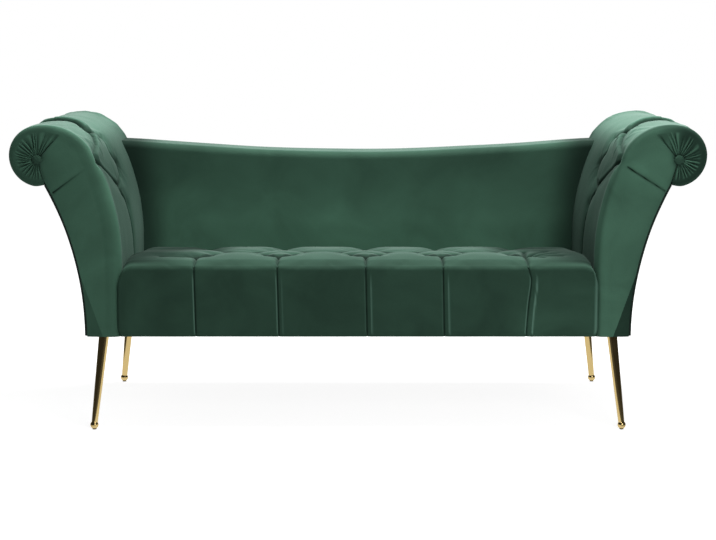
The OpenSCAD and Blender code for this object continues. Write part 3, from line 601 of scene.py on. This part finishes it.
def velvet(name, painted_light_level, shadow=None):
    """Short-pile cotton velvet: a dark ground with paler tips of pile at the rim. The level given
    second paints this copy lighter or darker for how the light falls on its part, and shadow is a
    mask of painted shade."""
    material, place = new_material(name)
    brushed = place.noise(6.0, 3.0, 0.8)
    pile = place.noise(240.0)
    fine = place.noise(1500.0, 1.0)
    fold = place.node("ShaderNodeAttribute", out="Fac", attribute_name="fold")
    # The fold shade draws the velvet darker in seams, tufts and pleats, partly as crushed pile and
    # partly as painted shade; the shadow mask adds more painted shade.
    crush_and_painted_shade = 1 - 0.86 * fold.at_least(0.0).at_most(1.0)
    if shadow:
        crush_and_painted_shade = crush_and_painted_shade * shadow(place)
    shade = ((brushed - 0.32) * 1.7 + pile * 0.2).at_least(0.0).at_most(1.0)
    bump = (pile * 0.7 + fine * 0.3).bump(0.35, 0.0006)
    body = place.node("ShaderNodeBsdfPrincipled", {
        "Base Color": crush_and_painted_shade.mix(crush_and_shade_black, shade.mix(
            shaded(ground, 0.78 * painted_light_level), shaded(ground, 1.25 * painted_light_level))),
        "Roughness": 0.66 + 0.14 * pile, "Specular IOR Level": 0.05, "Sheen Weight": 0.03,
        "Sheen Roughness": 0.35, "Sheen Tint": (0.5, 0.8, 0.66, 1), "Normal": bump})
    facing = place.node("ShaderNodeLayerWeight", {"Blend": 0.5, "Normal": bump}, "Facing")
    tips = (0.7 * facing ** 6.0).mix(shaded(pile_tips, painted_light_level), shaded(pale_tips, painted_light_level))
    rim = place.node("ShaderNodeBsdfPrincipled", {
        "Base Color": crush_and_painted_shade.mix(crush_and_shade_black, tips),
        "Roughness": 0.8, "Specular IOR Level": 0.04, "Normal": bump})
    # A negative fold shade is a painted highlight: it turns the pale pile tips on.
    painted_highlight = (0 - fold).at_least(0.0)
    on_rim = ((0.80 + 0.2 * shade) * facing ** 3.0 + 0.8 * painted_highlight).at_most(1.0)
    place.node("ShaderNodeMixShader", {0: on_rim, 1: body, 2: rim}).surface()
    return material


cover_velvet = velvet("green_velvet", 1.0)


def arm_painted_shade(place):
    """Painted shade on the arms: the whole left arm a little darker, everything behind the front
    edge darker, far darker down the inner side (less so low on the left arm), and a band down the
    right arm's front edge where the light falls away."""
    across, along_y = place.axis("X"), place.axis("Y")
    inner = abs(across).fade(0.665, 0.735, 1.0, 0.0)
    behind = along_y.fade(-0.348, -0.325, 0.0, 1.0)
    right = across.fade(-0.2, 0.2, 0.0, 1.0, "LINEAR")
    edge = right * along_y.fade(-0.360, -0.352, 0.0, 0.5) * along_y.fade(-0.343, -0.330, 1.0, 0.0)
    low = place.axis("Z").fade(0.45, 0.64, 1.0, 0.0)
    dark = across.fade(-0.2, 0.2, 0.60, 0.72, "LINEAR") - 0.18 * low * (1 - right)
    whole = (0.80 + 0.20 * right) * (1 - edge)
    return whole * (1 - (0.225 + 0.115 * right) * behind) * (1 - inner * behind * dark)


# The arms' copy of the velvet is painted lighter by its level of 1.6, then darkened by their
# painted shade.
arm_velvet = velvet("arm_velvet", 1.60, arm_painted_shade)


def dress(obj, material):
    obj.data.materials.append(material)
    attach(obj, "root")


arm_columns = [-0.003] + steps(0, fan_u * foot_share, 185)
arm_columns += steps(fan_u * foot_share, fan_u, 40)[1:] + steps(fan_u, arm_length, 230)[1:]
sheet_u = steps(0, arm_length, round(arm_length / 0.008))
sheet_y = steps(cover_rear_y - 0.004, facing_y + edge_soft, 84)
for (side, word), seed in zip(sides, (1, 2)):
    def pinned(u, y):
        edge, out = arm_side(u)
        height, fold = arm_height(u, y, seed)
        q = edge + height * ease((arm_length - u) / 0.03) * out
        near_end = min(u, arm_length - u, y - sheet_y[-1], sheet_y[0] - y)
        return (q.x, y, q.y), max(max(fold, 0) ** 0.7, 1 - near_end / 0.02)

    moved = swell(pinned, sheet_u, sheet_y, slack=0.004 + 0.001 * seed, limit=0.0035)
    rows = []
    for u in arm_columns:
        down = [(sheet_y[0] - y) / (sheet_y[0] - sheet_y[-1]) * (len(sheet_y) - 1)
                for y in arm_y(edge_roll(u))]
        moves = resample(moved, [max(u, 0) / arm_length * (len(sheet_u) - 1)], down)[0]
        rows.append(arm_column(u, side, seed, moves))
    under = [(x, y + 0.009 * ease((facing_y + 0.03 - y) / 0.02), z, fold)
             for x, y, z, fold in rows[0]]
    cover = thicken(skin(word + "_arm_pad", [under] + rows, side < 0))
    dress(cover, arm_velvet)
    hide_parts(word + "_arm_cover", word + "_arm_foam", word + "_front_facing",
                word + "_scroll_fan")

# ---- Scroll buttons ----
# A domed metal button covered in the same velvet is drawn into the middle of each scroll's
# front end, where it closes the pleats.
button_r = 0.0125
button_dome = 0.006
button_sides = 28


def covered_button(name, places, radius, dome, rumple=0.00022):
    """Domed buttons, each at a place with the direction that it faces. Their velvet is drawn
    darker, with a fold shade of 0.4.
    """
    build = bmesh.new()
    for place, facing in places:
        turn = Vector(facing).to_track_quat("Z", "Y")

        def point(x, y, z):
            return build.verts.new(Vector(place) + turn @ Vector((x, y, z)))

        top = point(0, 0, dome)
        rings = []
        for part in steps(0, 1, 8)[1:]:
            angle = part * 0.62 * pi
            ring_r = radius * (sin(angle) if part < 1 else 0.72)
            rings.append([point(
                ring_r * cos(a), ring_r * sin(a),
                dome * cos(angle)
                + rumple * (sin(9 * a + 3 * part) + sin(4 * a - 5 * part)) * part)
                for a in steps(0, 2 * pi, button_sides)[:-1]])
        for a in range(button_sides):
            b = (a + 1) % button_sides
            build.faces.new((top, rings[0][a], rings[0][b]))
            for inner, outer in zip(rings, rings[1:]):
                build.faces.new((inner[a], outer[a], outer[b], inner[b]))
        build.faces.new(list(reversed(rings[-1])))
    mesh = bpy.data.meshes.new(name)
    build.to_mesh(mesh)
    build.free()
    folded(mesh, [0.4] * len(mesh.vertices))
    return add(name, mesh)


buttons = covered_button(
    "scroll_end_buttons",
    [((side * fan_c.x, facing_y - 0.0005, fan_c.y), (0, -1, 0)) for side, _ in sides],
    button_r, button_dome, rumple=0.0006)
dress(buttons, cover_velvet)
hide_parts("scroll_buttons")

# ---- Arm tuft buttons ----
# Small velvet-covered buttons hold the tufts of each arm down, on twine that is tied behind
# the bent board.
tuft_button_r = 0.0085
tuft_button_dome = 0.0035
places = []
for (side, _), seed in zip(sides, (1, 2)):
    for tuft in arm_tufts:
        edge, out = arm_side(tuft.x)
        p = edge + (arm_height(tuft.x, tuft.y, seed)[0] - 0.0005) * out
        places.append(((side * p.x, tuft.y, p.y), (side * out.x, 0, out.y)))
buttons = covered_button("arm_button_covers", places, tuft_button_r, tuft_button_dome)
dress(buttons, arm_velvet)
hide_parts("arm_tuft_buttons")

# ---- Outer arm panels ----
# Plain velvet over thin wadding closes the outer side of each arm, from the underside up to
# the scroll.
panel_front_y = facing_y + 0.005
panel_crown = 0.0022
panel_turn_in = 0.004


def outer_side(t):
    """Point and outward direction on the outer side, t from the foot to the scroll."""
    out = ray(pi + (outer_end - pi) * t)
    return outer_c + outer_r * out, -out


for side, word in sides:
    rows = []
    for t in steps(0, 1, 44):
        p, out = outer_side(t)
        tucked = p - panel_turn_in * out
        row = [(side * tucked.x, panel_front_y, tucked.y)]
        for y in steps(panel_front_y + 0.0005, cover_rear_y - 0.0005, 72):
            inset = min(y - panel_front_y, cover_rear_y - y, 0.5)
            crown = panel_crown * (1 - exp(-inset / 0.02)) * (1 - exp(-t / 0.05))
            crown += 0.0012 * noise.noise(Vector((t * 3, y * 5, side)))
            q = p + (crown - 0.0008) * out
            row.append((side * q.x, y, q.y))
        row.append((side * tucked.x, cover_rear_y, tucked.y))
        rows.append(row)
    panel = thicken(skin(word + "_outer_side", rows, side > 0), 0.0025)
    dress(panel, cover_velvet)
    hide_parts(word + "_outer_arm_panel")

# ---- Rear facings ----
# The rear end of each arm is closed by a flat facing of velvet over wadding on a board, with
# its edge turned in.
rear_y = arm_hi.y
rear_roll = 0.006
rear_crown = 0.002
rear_far = [outer_side(t)[0] for t in steps(0, 1, 24)] + [scroll_c]
for side, word in sides:
    rows = []
    for u in steps(0, arm_length, 150):
        edge, out = arm_side(u)
        line = [(edge - 0.0005 * out, rear_y - 0.008)]
        for turn in steps(0, pi / 2, 5):
            line.append((edge - rear_roll * (1 - cos(turn)) * out,
                         rear_y - rear_roll + rear_roll * sin(turn)))
        start = edge - rear_roll * out
        end = along(rear_far, u / arm_length)
        reach = (end - start).length
        for part in steps(0, 1, 16)[1:]:
            crown = rear_crown * (1 - exp(-part * reach / 0.03))
            line.append((start.lerp(end, part), rear_y - rear_crown + crown))
        rows.append([(side * p.x, y, p.y) for p, y in line])
    panel = thicken(skin(word + "_rear_end", rows, side > 0))
    dress(panel, cover_velvet)
    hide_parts(word + "_rear_facing")

# ---- Piping ----
# A thin twisted cotton cord is sewn down the outer edge of each front facing, where the facing
# meets the outer panel. Its near-black colour is painted shade, for the dark line where the outer
# panel turns away into shadow.
cord_r = 0.0026
cord_in = 0.0028
piping_material, place = new_material("dark_piping")
twist = place.node("ShaderNodeTexWave", {"Vector": place, "Scale": 160.0, "Distortion": 1.5},
                   bands_direction="DIAGONAL")
place.node("ShaderNodeBsdfPrincipled", {
    "Base Color": (twist * 0.6).mix((0.008, 0.016, 0.012, 1), (0.018, 0.034, 0.026, 1)),
    "Roughness": 0.6 + 0.1 * twist, "Specular IOR Level": 0.2,
    "Normal": twist.bump(0.3, 0.0004)}).surface()
for side, word in sides:
    rows = []
    for t in steps(0, 1, 60):
        p, out = outer_side(t)
        middle = p - cord_in * out
        rows.append([(side * (middle.x + cord_r * cos(a) * out.x),
                      facing_y + 0.0022 + cord_r * sin(a),
                      middle.y + cord_r * cos(a) * out.y) for a in steps(0, 2 * pi, 10)])
    cord = skin(word + "_edge_cord", rows, side > 0)
    dress(cord, piping_material)
    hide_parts(word + "_piping")

# ---- Seat ----
# The seat and the border below it are one padded cover over springs and foam. It is buttoned
# in three rows, and a pleat runs from each front button over the edge and down the border.
seat_lo, seat_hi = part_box("seat_cover")
seat_fall = 0.036
fall_from = 0.150
edge_r = 0.010
edge_drop = 0.007
seat_front_y = seat_lo.y
seat_half = seat_hi.x
seat_round = 0.036            # how far in from each end the top is rounded
seat_bulge = 0.0065           # the border's ends swell out over the arms' feet
bulge_y = -0.348              # and only in front of here
border_rise = seat_hi.z - edge_drop - edge_r - under_z
edge_length = edge_r * pi / 2
top_length = seat_hi.y - seat_front_y - edge_r
front_row_x = [-0.428, -0.211, 0.020, 0.222, 0.444]
mid_row_x = [(a + b) / 2 for a, b in zip(front_row_x, front_row_x[1:])]
bowed = 4                     # the pleat that hangs in a bow


def top_v(y):
    """Length up the border and over the edge to depth y on the seat's top."""
    return border_rise + edge_length + y - seat_front_y - edge_r


def seat_side(v):
    """Point and outward direction at length v up the border, over the edge and back."""
    if v <= border_rise:
        return Vector((seat_front_y, under_z + v)), Vector((-1, 0))
    if v <= border_rise + edge_length:
        out = ray(pi - (v - border_rise) / edge_r)
        return Vector((seat_front_y + edge_r, seat_hi.z - edge_drop - edge_r)) + edge_r * out, out
    back = v - border_rise - edge_length
    fallen = max(back + edge_r - fall_from, 0) / (top_length + edge_r - fall_from)
    top = seat_hi.z - seat_fall * fallen - edge_drop * (1 - ease(back / 0.14 + 0.10)) ** 1.5
    return Vector((seat_front_y + edge_r + back, top)), Vector((0, 1))


def pleat_x(i, v):
    """Where the border's pleat below a front button runs at length v."""
    down = 1 - v / border_rise
    if i != bowed:
        return front_row_x[i] + 0.004 * down
    return front_row_x[i] + 0.0085 * down / 0.16 * exp(1 - down / 0.16) - 0.0044 * down ** 2


front_row = [Vector((x, top_v(-0.24))) for x in front_row_x]
mid_row = [Vector((x, top_v(-0.09))) for x in mid_row_x]
rear_row = [Vector((x, top_v(0.06))) for x in front_row_x]
seat_tufts = front_row + mid_row + rear_row
seat_seams = []
for i, tuft in enumerate(mid_row):
    seat_seams += [(tuft, button, 0.9, 0.8, 0.022) for button in rear_row[i:i + 2]]
    for button in front_row[i:i + 2]:
        way = math.copysign(1, tuft.x - button.x)
        near, knee = button + Vector((0.024 * way, 0.008)), button + Vector((0.050 * way, 0.088))
        seat_seams += [(button, near, 1.0, 1.0, 0.010), (near, knee, 1.0, 1.0, 0.010),
                       (knee, tuft, 1.0, 1.0, 0.018)]
# The diamond seams, for the painted shade on the slope behind them.
shaded_seams = [seam[:2] for seam in seat_seams]
for tuft in rear_row:
    seat_seams.append((tuft, Vector((tuft.x, top_v(seat_hi.y))), 0.8, 0.6, 0.020))
for i, tuft in enumerate(front_row):
    edge_at = Vector((tuft.x, border_rise + edge_length * 0.5))
    seat_seams.append((tuft, edge_at, 0.55, 0.5, 0.0030))
    line = [edge_at] + [Vector((pleat_x(i, v), v))
                        for v in steps(border_rise, 0, 8 if i == bowed else 1)[1:]]
    seat_seams += [(a, b, 1.0, 1.0, 0.0026) for a, b in zip(line, line[1:])]
for button, x, y, near, far, reach in (
        (front_row[0], -0.52, -0.245, 1.0, 0.6, 0.020),
        (front_row[-1], 0.53, -0.20, 1.0, 0.5, 0.008),
        (front_row[-1], 0.51, -0.12, 1.0, 0.5, 0.007),
        (front_row[-1], 0.455, -0.10, 1.0, 0.4, 0.007),
        (front_row[-1], 0.54, -0.262, 0.8, 0.3, 0.007),
        (front_row[-1], 0.49, -0.285, 0.8, 0.3, 0.006),
        (rear_row[0], -seat_half, 0.0, 0.8, 0.5, 0.022),
        (rear_row[-1], seat_half, 0.1, 0.8, 0.5, 0.022)):
    seat_seams.append((button, Vector((x, top_v(y))), near, far, reach))
pleat_bands = [0.0, 0.25, 0.7, 0.8, 1.3]      # how full the border lies beside each pleat
# Painted highlight streaks from the last front button: the turn and length of each.
highlight_streaks = ((0.15, 0.030), (0.75, 0.022), (1.35, 0.018), (2.3, 0.014))    # from the last button


def seat_height(x, v):
    """The seat's cover at x and v: its height, and its fold shade, which is negative for a painted
    highlight.
    """
    p = Vector((x, v))
    border = 1 - ease((v - border_rise + 0.004) / 0.05)
    height, fold = quilt(
        p, seat_tufts, seat_seams, 4, crown=0.017 - 0.0145 * border, level=0.42 + 0.3 * border,
        seam_depth=0.0040 - 0.0020 * border, tuft_depth=0.0020, seam_width=0.0064 - 0.0048 * border)
    # Painted shade on the rising slope just behind each diamond seam.
    if front_row[0].y - 0.01 < v < rear_row[0].y + 0.04:
        for a, b in shaded_seams:
            gap = off_line(p, a, b)[0]
            if gap.y > 0:
                fold = max(fold, 0.80 * (1 - ease((gap.length - 0.012) / 0.016)))
    for i, band in enumerate(pleat_bands):
        past = x - pleat_x(i, min(v, border_rise))
        full = band * border * ease((border_rise - v) / 0.05)
        if 0 < past < 0.03:
            height -= 0.0013 * full * (1 - ease(past / (0.009 + 0.006 * band)))
        # A painted highlight runs along a ridge to the right of each border pleat, and a thin one
        # just left of it.
        ridge = exp(-((past - 0.010 - 0.004 * band) / 0.0018) ** 2)
        height += 0.0012 * full * ridge
        near = exp(-((past + 0.0034) / 0.0014) ** 2) * (1.5 if band < 0.5 or band > 1 else 0.4)
        fold -= 1.7 * full * ridge + border * near * ease((border_rise - v) / 0.03)
    # Painted highlight streaks fan out from the right-hand front button.
    arm = p - front_row[-1]
    if arm.length < 0.06:
        for turn, length in highlight_streaks:
            past = arm.dot(ray(turn))
            if past > 0:
                aside = arm.cross(ray(turn)) / (0.0015 + 0.08 * past)
                fold -= 0.8 * exp(-past / length - aside ** 2)
    # A thin painted highlight runs down the right end of the seat's border.
    if x > 0:
        fold -= 1.3 * border * exp(-((seat_half - 0.004 - x) / 0.002) ** 2)
    return height, fold


seat_x = steps(-seat_half, seat_half, 290)
for x in front_row_x:
    seat_x += steps(x - 0.016, x + 0.016, 24)
seat_x = sorted(seat_x)
seat_x = [x for i, x in enumerate(seat_x) if i == 0 or x - seat_x[i - 1] > 0.0005]
seat_v = steps(0, border_rise, 34) + steps(border_rise, border_rise + edge_length, 12)[1:]
seat_v += steps(seat_v[-1], seat_v[-1] + 0.28, 112)[1:]
seat_v += steps(seat_v[-1], border_rise + edge_length + top_length, 52)[1:]


def seat_point(x, v):
    """The seat's cover at x and v, and its fold shade."""
    end = min(max((abs(x) - (seat_half - seat_round)) / seat_round, 0), 1)
    drop = 0.028 * (1 - math.sqrt(max(1 - end * end, 0)))
    p, out = seat_side(v)
    height, fold = seat_height(x, v)
    p = p + height * ease((seat_half - abs(x)) / 0.012) * out
    low = drop * ease((v - border_rise * 0.6) / (border_rise * 0.4))
    return Vector((x, p.x, p.y - low)), fold


sheet_x = steps(-seat_half, seat_half, 150)
sheet_v = steps(0, seat_v[-1], 92)


def seat_pinned(x, v):
    p, fold = seat_point(x, v)
    near_end = min(seat_half - abs(x), v, sheet_v[-1] - v)
    on_border = 1 - ease((v - border_rise + 0.02) / 0.04)
    return tuple(p), max(fold, 1 - near_end / 0.015, 0.75 * on_border)


moved = resample(swell(seat_pinned, sheet_x, sheet_v, slack=0.006, limit=0.0040),
                 [(x + seat_half) / (2 * seat_half) * (len(sheet_x) - 1) for x in seat_x],
                 [v / seat_v[-1] * (len(sheet_v) - 1) for v in seat_v])
hem_r = 0.007
hem_z = under_z - 0.003
tuck_y, tuck_z = -0.3315, 0.366       # the cover's hidden run down behind the border
seat_rows = []
for x, moves in zip(seat_x, moved):
    bulge = ease((abs(x) - seat_half + 0.02) / 0.02) * math.copysign(seat_bulge, x)
    row = []
    for v, move in zip(seat_v, moves):
        p, fold = seat_point(x, v)
        p += move
        wide = ease(v / 0.03 + 0.3) * (1 - ease((v - border_rise + 0.02) / 0.04))
        row.append((p.x + bulge * wide * ease((bulge_y - p.y) / 0.006), p.y, p.z, fold))
    front_y = row[0][1]
    hem = [(x, front_y + hem_r * (1 - cos(a)), hem_z + hem_r * (1 - sin(a)), 0)
           for a in steps(pi / 2, 0, 4)[:-1]]
    row = hem + row[2:]
    row += [(x, row[-1][1], tuck_z), (x, tuck_y, tuck_z), (x, tuck_y, hem_z), row[0]]
    seat_rows.append(row)
seat = skin("seat_pad", seat_rows, True)
build = bmesh.new()
build.from_mesh(seat.data)
bmesh.ops.remove_doubles(build, verts=build.verts, dist=1e-6)
bmesh.ops.holes_fill(build, edges=[e for e in build.edges if e.is_boundary], sides=0)
bmesh.ops.recalc_face_normals(build, faces=build.faces)
build.to_mesh(seat.data)
build.free()
seat.data.shade_smooth()


def seat_painted_shade(place):
    """Painted shade at both ends of the seat's top, deepest towards the back where the arms shade
    it, a darker level over the whole seat, and painted light at the foot of the right end.
    """
    across, along_y = place.axis("X"), place.axis("Y")
    end = (abs(across) + 0.36 * (along_y + 0.33)).fade(0.43, 0.61, 0.0, 0.74)
    top = along_y.fade(-0.352, -0.330, 0.0, 1.0)
    right = across.fade(0.38, 0.46, 0.0, 1.0, "LINEAR")
    low = place.axis("Z").fade(0.28, 0.43, 0.30, 0.0, "LINEAR")
    return (0.74 + right * low) * (1 - end * top)


# The seat's copy of the velvet is painted darker by its level of 0.82 and by its painted shade.
seat_velvet = velvet("seat_velvet", 0.82, seat_painted_shade)
dress(seat, seat_velvet)
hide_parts("seat_cover", "seat_foam", "border_foam")

# ---- Seat tuft buttons ----
# The seat's buttons are covered in the same velvet and pulled down into the foam with twine
# that is tied under the felt.
places = [(tuple(seat_point(tuft.x, tuft.y)[0]), (0, 0, 1)) for tuft in seat_tufts]
buttons = covered_button("seat_button_covers", places, tuft_button_r, tuft_button_dome)
dress(buttons, seat_velvet)
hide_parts("seat_tuft_buttons")

# ---- Back ----
# The back is a plain padded velvet panel over webbing, with a soft rounded top edge that dips
# in the middle and runs up to the arms.
back_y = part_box("back_cover")[0].y
back_mid = under_z + 0.436
back_lift = 0.030
back_edge = 0.020
back_rear_edge = 0.022
back_lean = 0.024
back_low_z = 0.372
back_half = 0.66
back_return = 0.039           # how far the cover comes down the rear


def arm_x(z):
    """Half the width between the arms' inner sides at height z."""
    if z <= flare_z:
        return inner_x
    if z < crest_c.y + crest_r * sin(flare_turn):
        return flare_c.x - math.sqrt(flare_r ** 2 - (z - flare_c.y) ** 2)
    return crest_c.x - math.sqrt(max(crest_r ** 2 - (z - crest_c.y) ** 2, 0))


def back_top(x):
    return back_mid + back_lift * (abs(x) / inner_x) ** 1.8


def back_side(x):
    """The back's section at place x: points with outward directions."""
    top = back_top(x)
    seat_z = seat_hi.z - seat_fall
    corner_z = top - back_edge
    lean_at = back_y + back_lean * (corner_z - seat_z) / (back_mid - seat_z)
    ahead, up = Vector((-1, 0)), Vector((0, 1))
    line = [(Vector((back_y, z)), ahead) for z in steps(back_low_z, seat_z, 8)]
    line += [(Vector((back_y + (lean_at - back_y) * f, seat_z + (corner_z - seat_z) * f)), ahead)
             for f in steps(0, 1, 40)[1:]]
    for turn in steps(pi, pi / 2, 9)[1:]:
        line.append((Vector((lean_at + back_edge, corner_z)) + back_edge * ray(turn), ray(turn)))
    for y in steps(lean_at + back_edge, rear_y - back_rear_edge, 16)[1:]:
        line.append((Vector((y, top)), up))
    rear_c = Vector((rear_y - back_rear_edge, top - back_rear_edge))
    for turn in steps(pi / 2, 0, 7)[1:]:
        line.append((rear_c + back_rear_edge * ray(turn), ray(turn)))
    line.append((Vector((rear_y, top - back_return)), Vector((1, 0))))
    return line


rows = []
for t in steps(-1, 1, 220):
    row = []
    for i in range(len(back_side(0))):
        place = t * 0.68
        for _ in range(3):
            p, out = back_side(place)[i]
            place = t * (arm_x(p.y) + 0.006)
        inset = (1 - abs(t)) * back_half
        crown = 0.004 * (1 - exp(-inset / 0.05)) * ease((p.y - 0.40) / 0.1) - 0.002
        crown += 0.0012 * noise.noise(Vector((place * 5, p.y * 6, p.x * 4)))
        p = p + crown * out
        row.append((place, p.x, p.y))
    rows.append(row)
back = thicken(skin("back_pad", rows, True))


def back_painted_shade(place):
    """Painted shade along the arms and towards the top edge."""
    up = place.axis("Z")
    near_arm = (abs(place.axis("X")) - 0.12 * up).fade(0.46, 0.57, 1.0, 0.28)
    return near_arm * up.fade(0.42, 0.68, 1.0, 0.54)


# The back's copy of the velvet is painted lighter by its level of 1.4, then darkened by its painted
# shade.
back_velvet = velvet("back_velvet", 1.40, back_painted_shade)
dress(back, back_velvet)
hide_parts("back_cover", "back_foam")

# ---- Outer back panel ----
# Plain velvet over thin wadding is drawn over the rear of the frame and stapled under it,
# between the arms' rear facings.
outer_crown = 0.0025
outer_drop = 0.040            # the panel ends this far below the back's top
rows = []
for t in steps(-1, 1, 120):
    row = []
    for f in steps(0, 1, 44):
        place = t * back_half
        for _ in range(3):
            top = back_top(place) - outer_drop
            z = under_z + (top - under_z) * f
            place = t * (arm_x(z) - 0.0005)
        inset = min((1 - abs(t)) * back_half, (1 - f) * 0.45, f * 0.45)
        crown = outer_crown * (1 - exp(-inset / 0.03))
        crown += 0.0009 * noise.noise(Vector((place * 4, z * 5, 2)))
        row.append((place, rear_y - 0.0015 + crown, z))
    rows.append(row)
panel = thicken(skin("outer_back", rows, False))
dress(panel, cover_velvet)
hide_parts("outer_back_panel")


# ---- Legs ----
# Four tapered steel legs with ball feet, plated and polished in a gold colour, are screwed
# to the corners of the frame.
def metal(name, colour, roughness, grain):
    """Plated or bare metal with fine marks from polishing."""
    material, place = new_material(name)
    marks = place.noise(grain, 3.0)
    smear = place.noise(24.0)
    place.node("ShaderNodeBsdfPrincipled", {
        "Base Color": (smear * 0.5).mix(shaded(colour, 0.86), colour + (1,)),
        "Metallic": 1.0, "Roughness": roughness + 0.12 * marks * smear,
        "Normal": marks.bump(0.05, 0.0002)}).surface()
    return material


gold = metal("gold_plate", (0.80, 0.60, 0.26), 0.10, 900.0)


def repaint(name, material):
    parts = frame["nodes"][name].data.materials
    parts.clear()
    parts.append(material)


for name in ("front_left_leg", "front_right_leg", "rear_left_leg", "rear_right_leg"):
    repaint(name, gold)


# ---- Hidden frame and fastenings ----
# The frame inside is pine and plywood, dowelled and screwed together, with steel springs,
# felt, webbing and foam over it. The fastenings are zinc plated.
def wood(name, light, dark, rings):
    """Planed softwood or plywood."""
    material, place = new_material(name)
    grain = place.node("ShaderNodeTexWave", {
        "Vector": place, "Scale": rings, "Distortion": 6.0, "Detail": 3.0},
        wave_type="RINGS", rings_direction="X")
    fibre = place.noise(300.0)
    place.node("ShaderNodeBsdfPrincipled", {
        "Base Color": (grain * 0.7 + fibre * 0.2).mix(light + (1,), dark + (1,)),
        "Roughness": 0.6 + 0.2 * fibre,
        "Normal": grain.bump(0.2, 0.0005)}).surface()
    return material


def cloth(name, light, dark, threads):
    """Plain woven or felted cloth."""
    material, place = new_material(name)
    warp, weft = [place.node("ShaderNodeTexWave", {"Vector": place, "Scale": threads},
                             bands_direction=way) for way in ("X", "Y")]
    weave = warp.at_least(weft)
    fuzz = place.noise(200.0, 3.0)
    place.node("ShaderNodeBsdfPrincipled", {
        "Base Color": (weave * 0.6 + fuzz * 0.3).mix(dark + (1,), light + (1,)),
        "Roughness": 0.8 + 0.1 * fuzz, "Specular IOR Level": 0.2,
        "Normal": weave.bump(0.3, 0.0005)}).surface()
    return material


finishes = {
    "timber": wood("pine", (0.62, 0.45, 0.26), (0.46, 0.30, 0.15), 14.0),
    "plywood": wood("birch_ply", (0.60, 0.46, 0.30), (0.48, 0.34, 0.20), 30.0),
    "bent_board": wood("hardboard", (0.26, 0.17, 0.10), (0.20, 0.12, 0.07), 60.0),
    "tube_board": wood("wound_board", (0.34, 0.24, 0.14), (0.27, 0.18, 0.10), 45.0),
    "webbing": cloth("webbing_weave", (0.06, 0.06, 0.06), (0.02, 0.02, 0.02), 120.0),
    "felt": cloth("grey_felt", (0.34, 0.34, 0.34), (0.22, 0.22, 0.22), 20.0),
    "padding": cloth("foam", (0.75, 0.68, 0.45), (0.62, 0.55, 0.34), 60.0),
    "twine": cloth("waxed_twine", (0.66, 0.62, 0.50), (0.5, 0.46, 0.36), 400.0),
    "dust_cloth": cloth("black_cloth", (0.02, 0.02, 0.02), (0.008, 0.008, 0.008), 300.0),
    "spring_wire": metal("oiled_wire", (0.20, 0.21, 0.22), 0.38, 500.0),
    "zinc_steel": metal("zinc_plate", (0.52, 0.54, 0.56), 0.34, 400.0),
    "glide_plastic": cloth("moulded_glide", (0.04, 0.04, 0.04), (0.03, 0.03, 0.03), 30.0),
    "velvet": cover_velvet,
    "dark_edge": piping_material,
}
for part in frame["record"]["subparts"]:
    if part["material_slot"] in finishes:
        repaint(part["node"], finishes[part["material_slot"]])

# ---- Dust cover ----
# Thin black cloth is stapled under the frame, with an opening for each leg's mounting plate.
# It hangs slightly between the rails.
dust_lo, dust_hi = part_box("dust_cover")
rail_front_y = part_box("right_front_facing")[1].y
leg_x, leg_y = foot_x - 0.042, rear_y - 0.060      # middle of each leg's plate
opening = 0.025
dust_sag = 0.005
dust_step = 0.018
dust_t = 0.0006
foot_inner_x = inner_x - 0.001        # the cloth stops here behind the facings


def cuts(low, high, marks):
    """Grid places from low to high that include the marks."""
    lines = sorted([low, high] + [m for m in marks if low < m < high])
    places = [low]
    for a, b in zip(lines, lines[1:]):
        places += steps(a, b, max(1, round((b - a) / dust_step)))[1:]
    return places


dust_x = cuts(dust_lo.x, dust_hi.x, [
    side * m for side in (-1, 1) for m in (leg_x - opening, leg_x + opening, foot_inner_x)])
dust_y = cuts(dust_lo.y, dust_hi.y, [
    rail_front_y, leg_y - opening, leg_y + opening, opening - leg_y, -opening - leg_y])
build = bmesh.new()
grid = []
for x in dust_x:
    line = []
    for y in dust_y:
        hang = max(1 - (x / (dust_hi.x - 0.03)) ** 6, 0) * max(1 - ((y + 0.01) / 0.30) ** 4, 0)
        near_staples = exp(-min(abs(y - dust_lo.y), abs(dust_hi.y - y)) / 0.02)
        pucker = 0.0006 * sin(x * 90) * near_staples
        line.append(build.verts.new((x, y, dust_lo.z + 0.0009 - dust_sag * hang + pucker)))
    grid.append(line)
dust_area = 0
for i in range(len(dust_x) - 1):
    for j in range(len(dust_y) - 1):
        x, y = (dust_x[i] + dust_x[i + 1]) / 2, (dust_y[j] + dust_y[j + 1]) / 2
        on_plate = max(abs(abs(x) - leg_x), abs(abs(y) - leg_y)) < opening
        if on_plate or (y < rail_front_y and abs(x) > foot_inner_x):
            continue
        build.faces.new((grid[i][j], grid[i][j + 1], grid[i + 1][j + 1], grid[i + 1][j]))
        dust_area += (dust_x[i + 1] - dust_x[i]) * (dust_y[j + 1] - dust_y[j])
for vert in [v for v in build.verts if not v.link_faces]:
    build.verts.remove(vert)
dust_mesh = bpy.data.meshes.new("dust_sheet")
build.to_mesh(dust_mesh)
build.free()
dust_mesh.shade_smooth()
dust = thicken(add("dust_sheet", dust_mesh), dust_t)
dress(dust, finishes["dust_cloth"])
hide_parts("dust_cover")
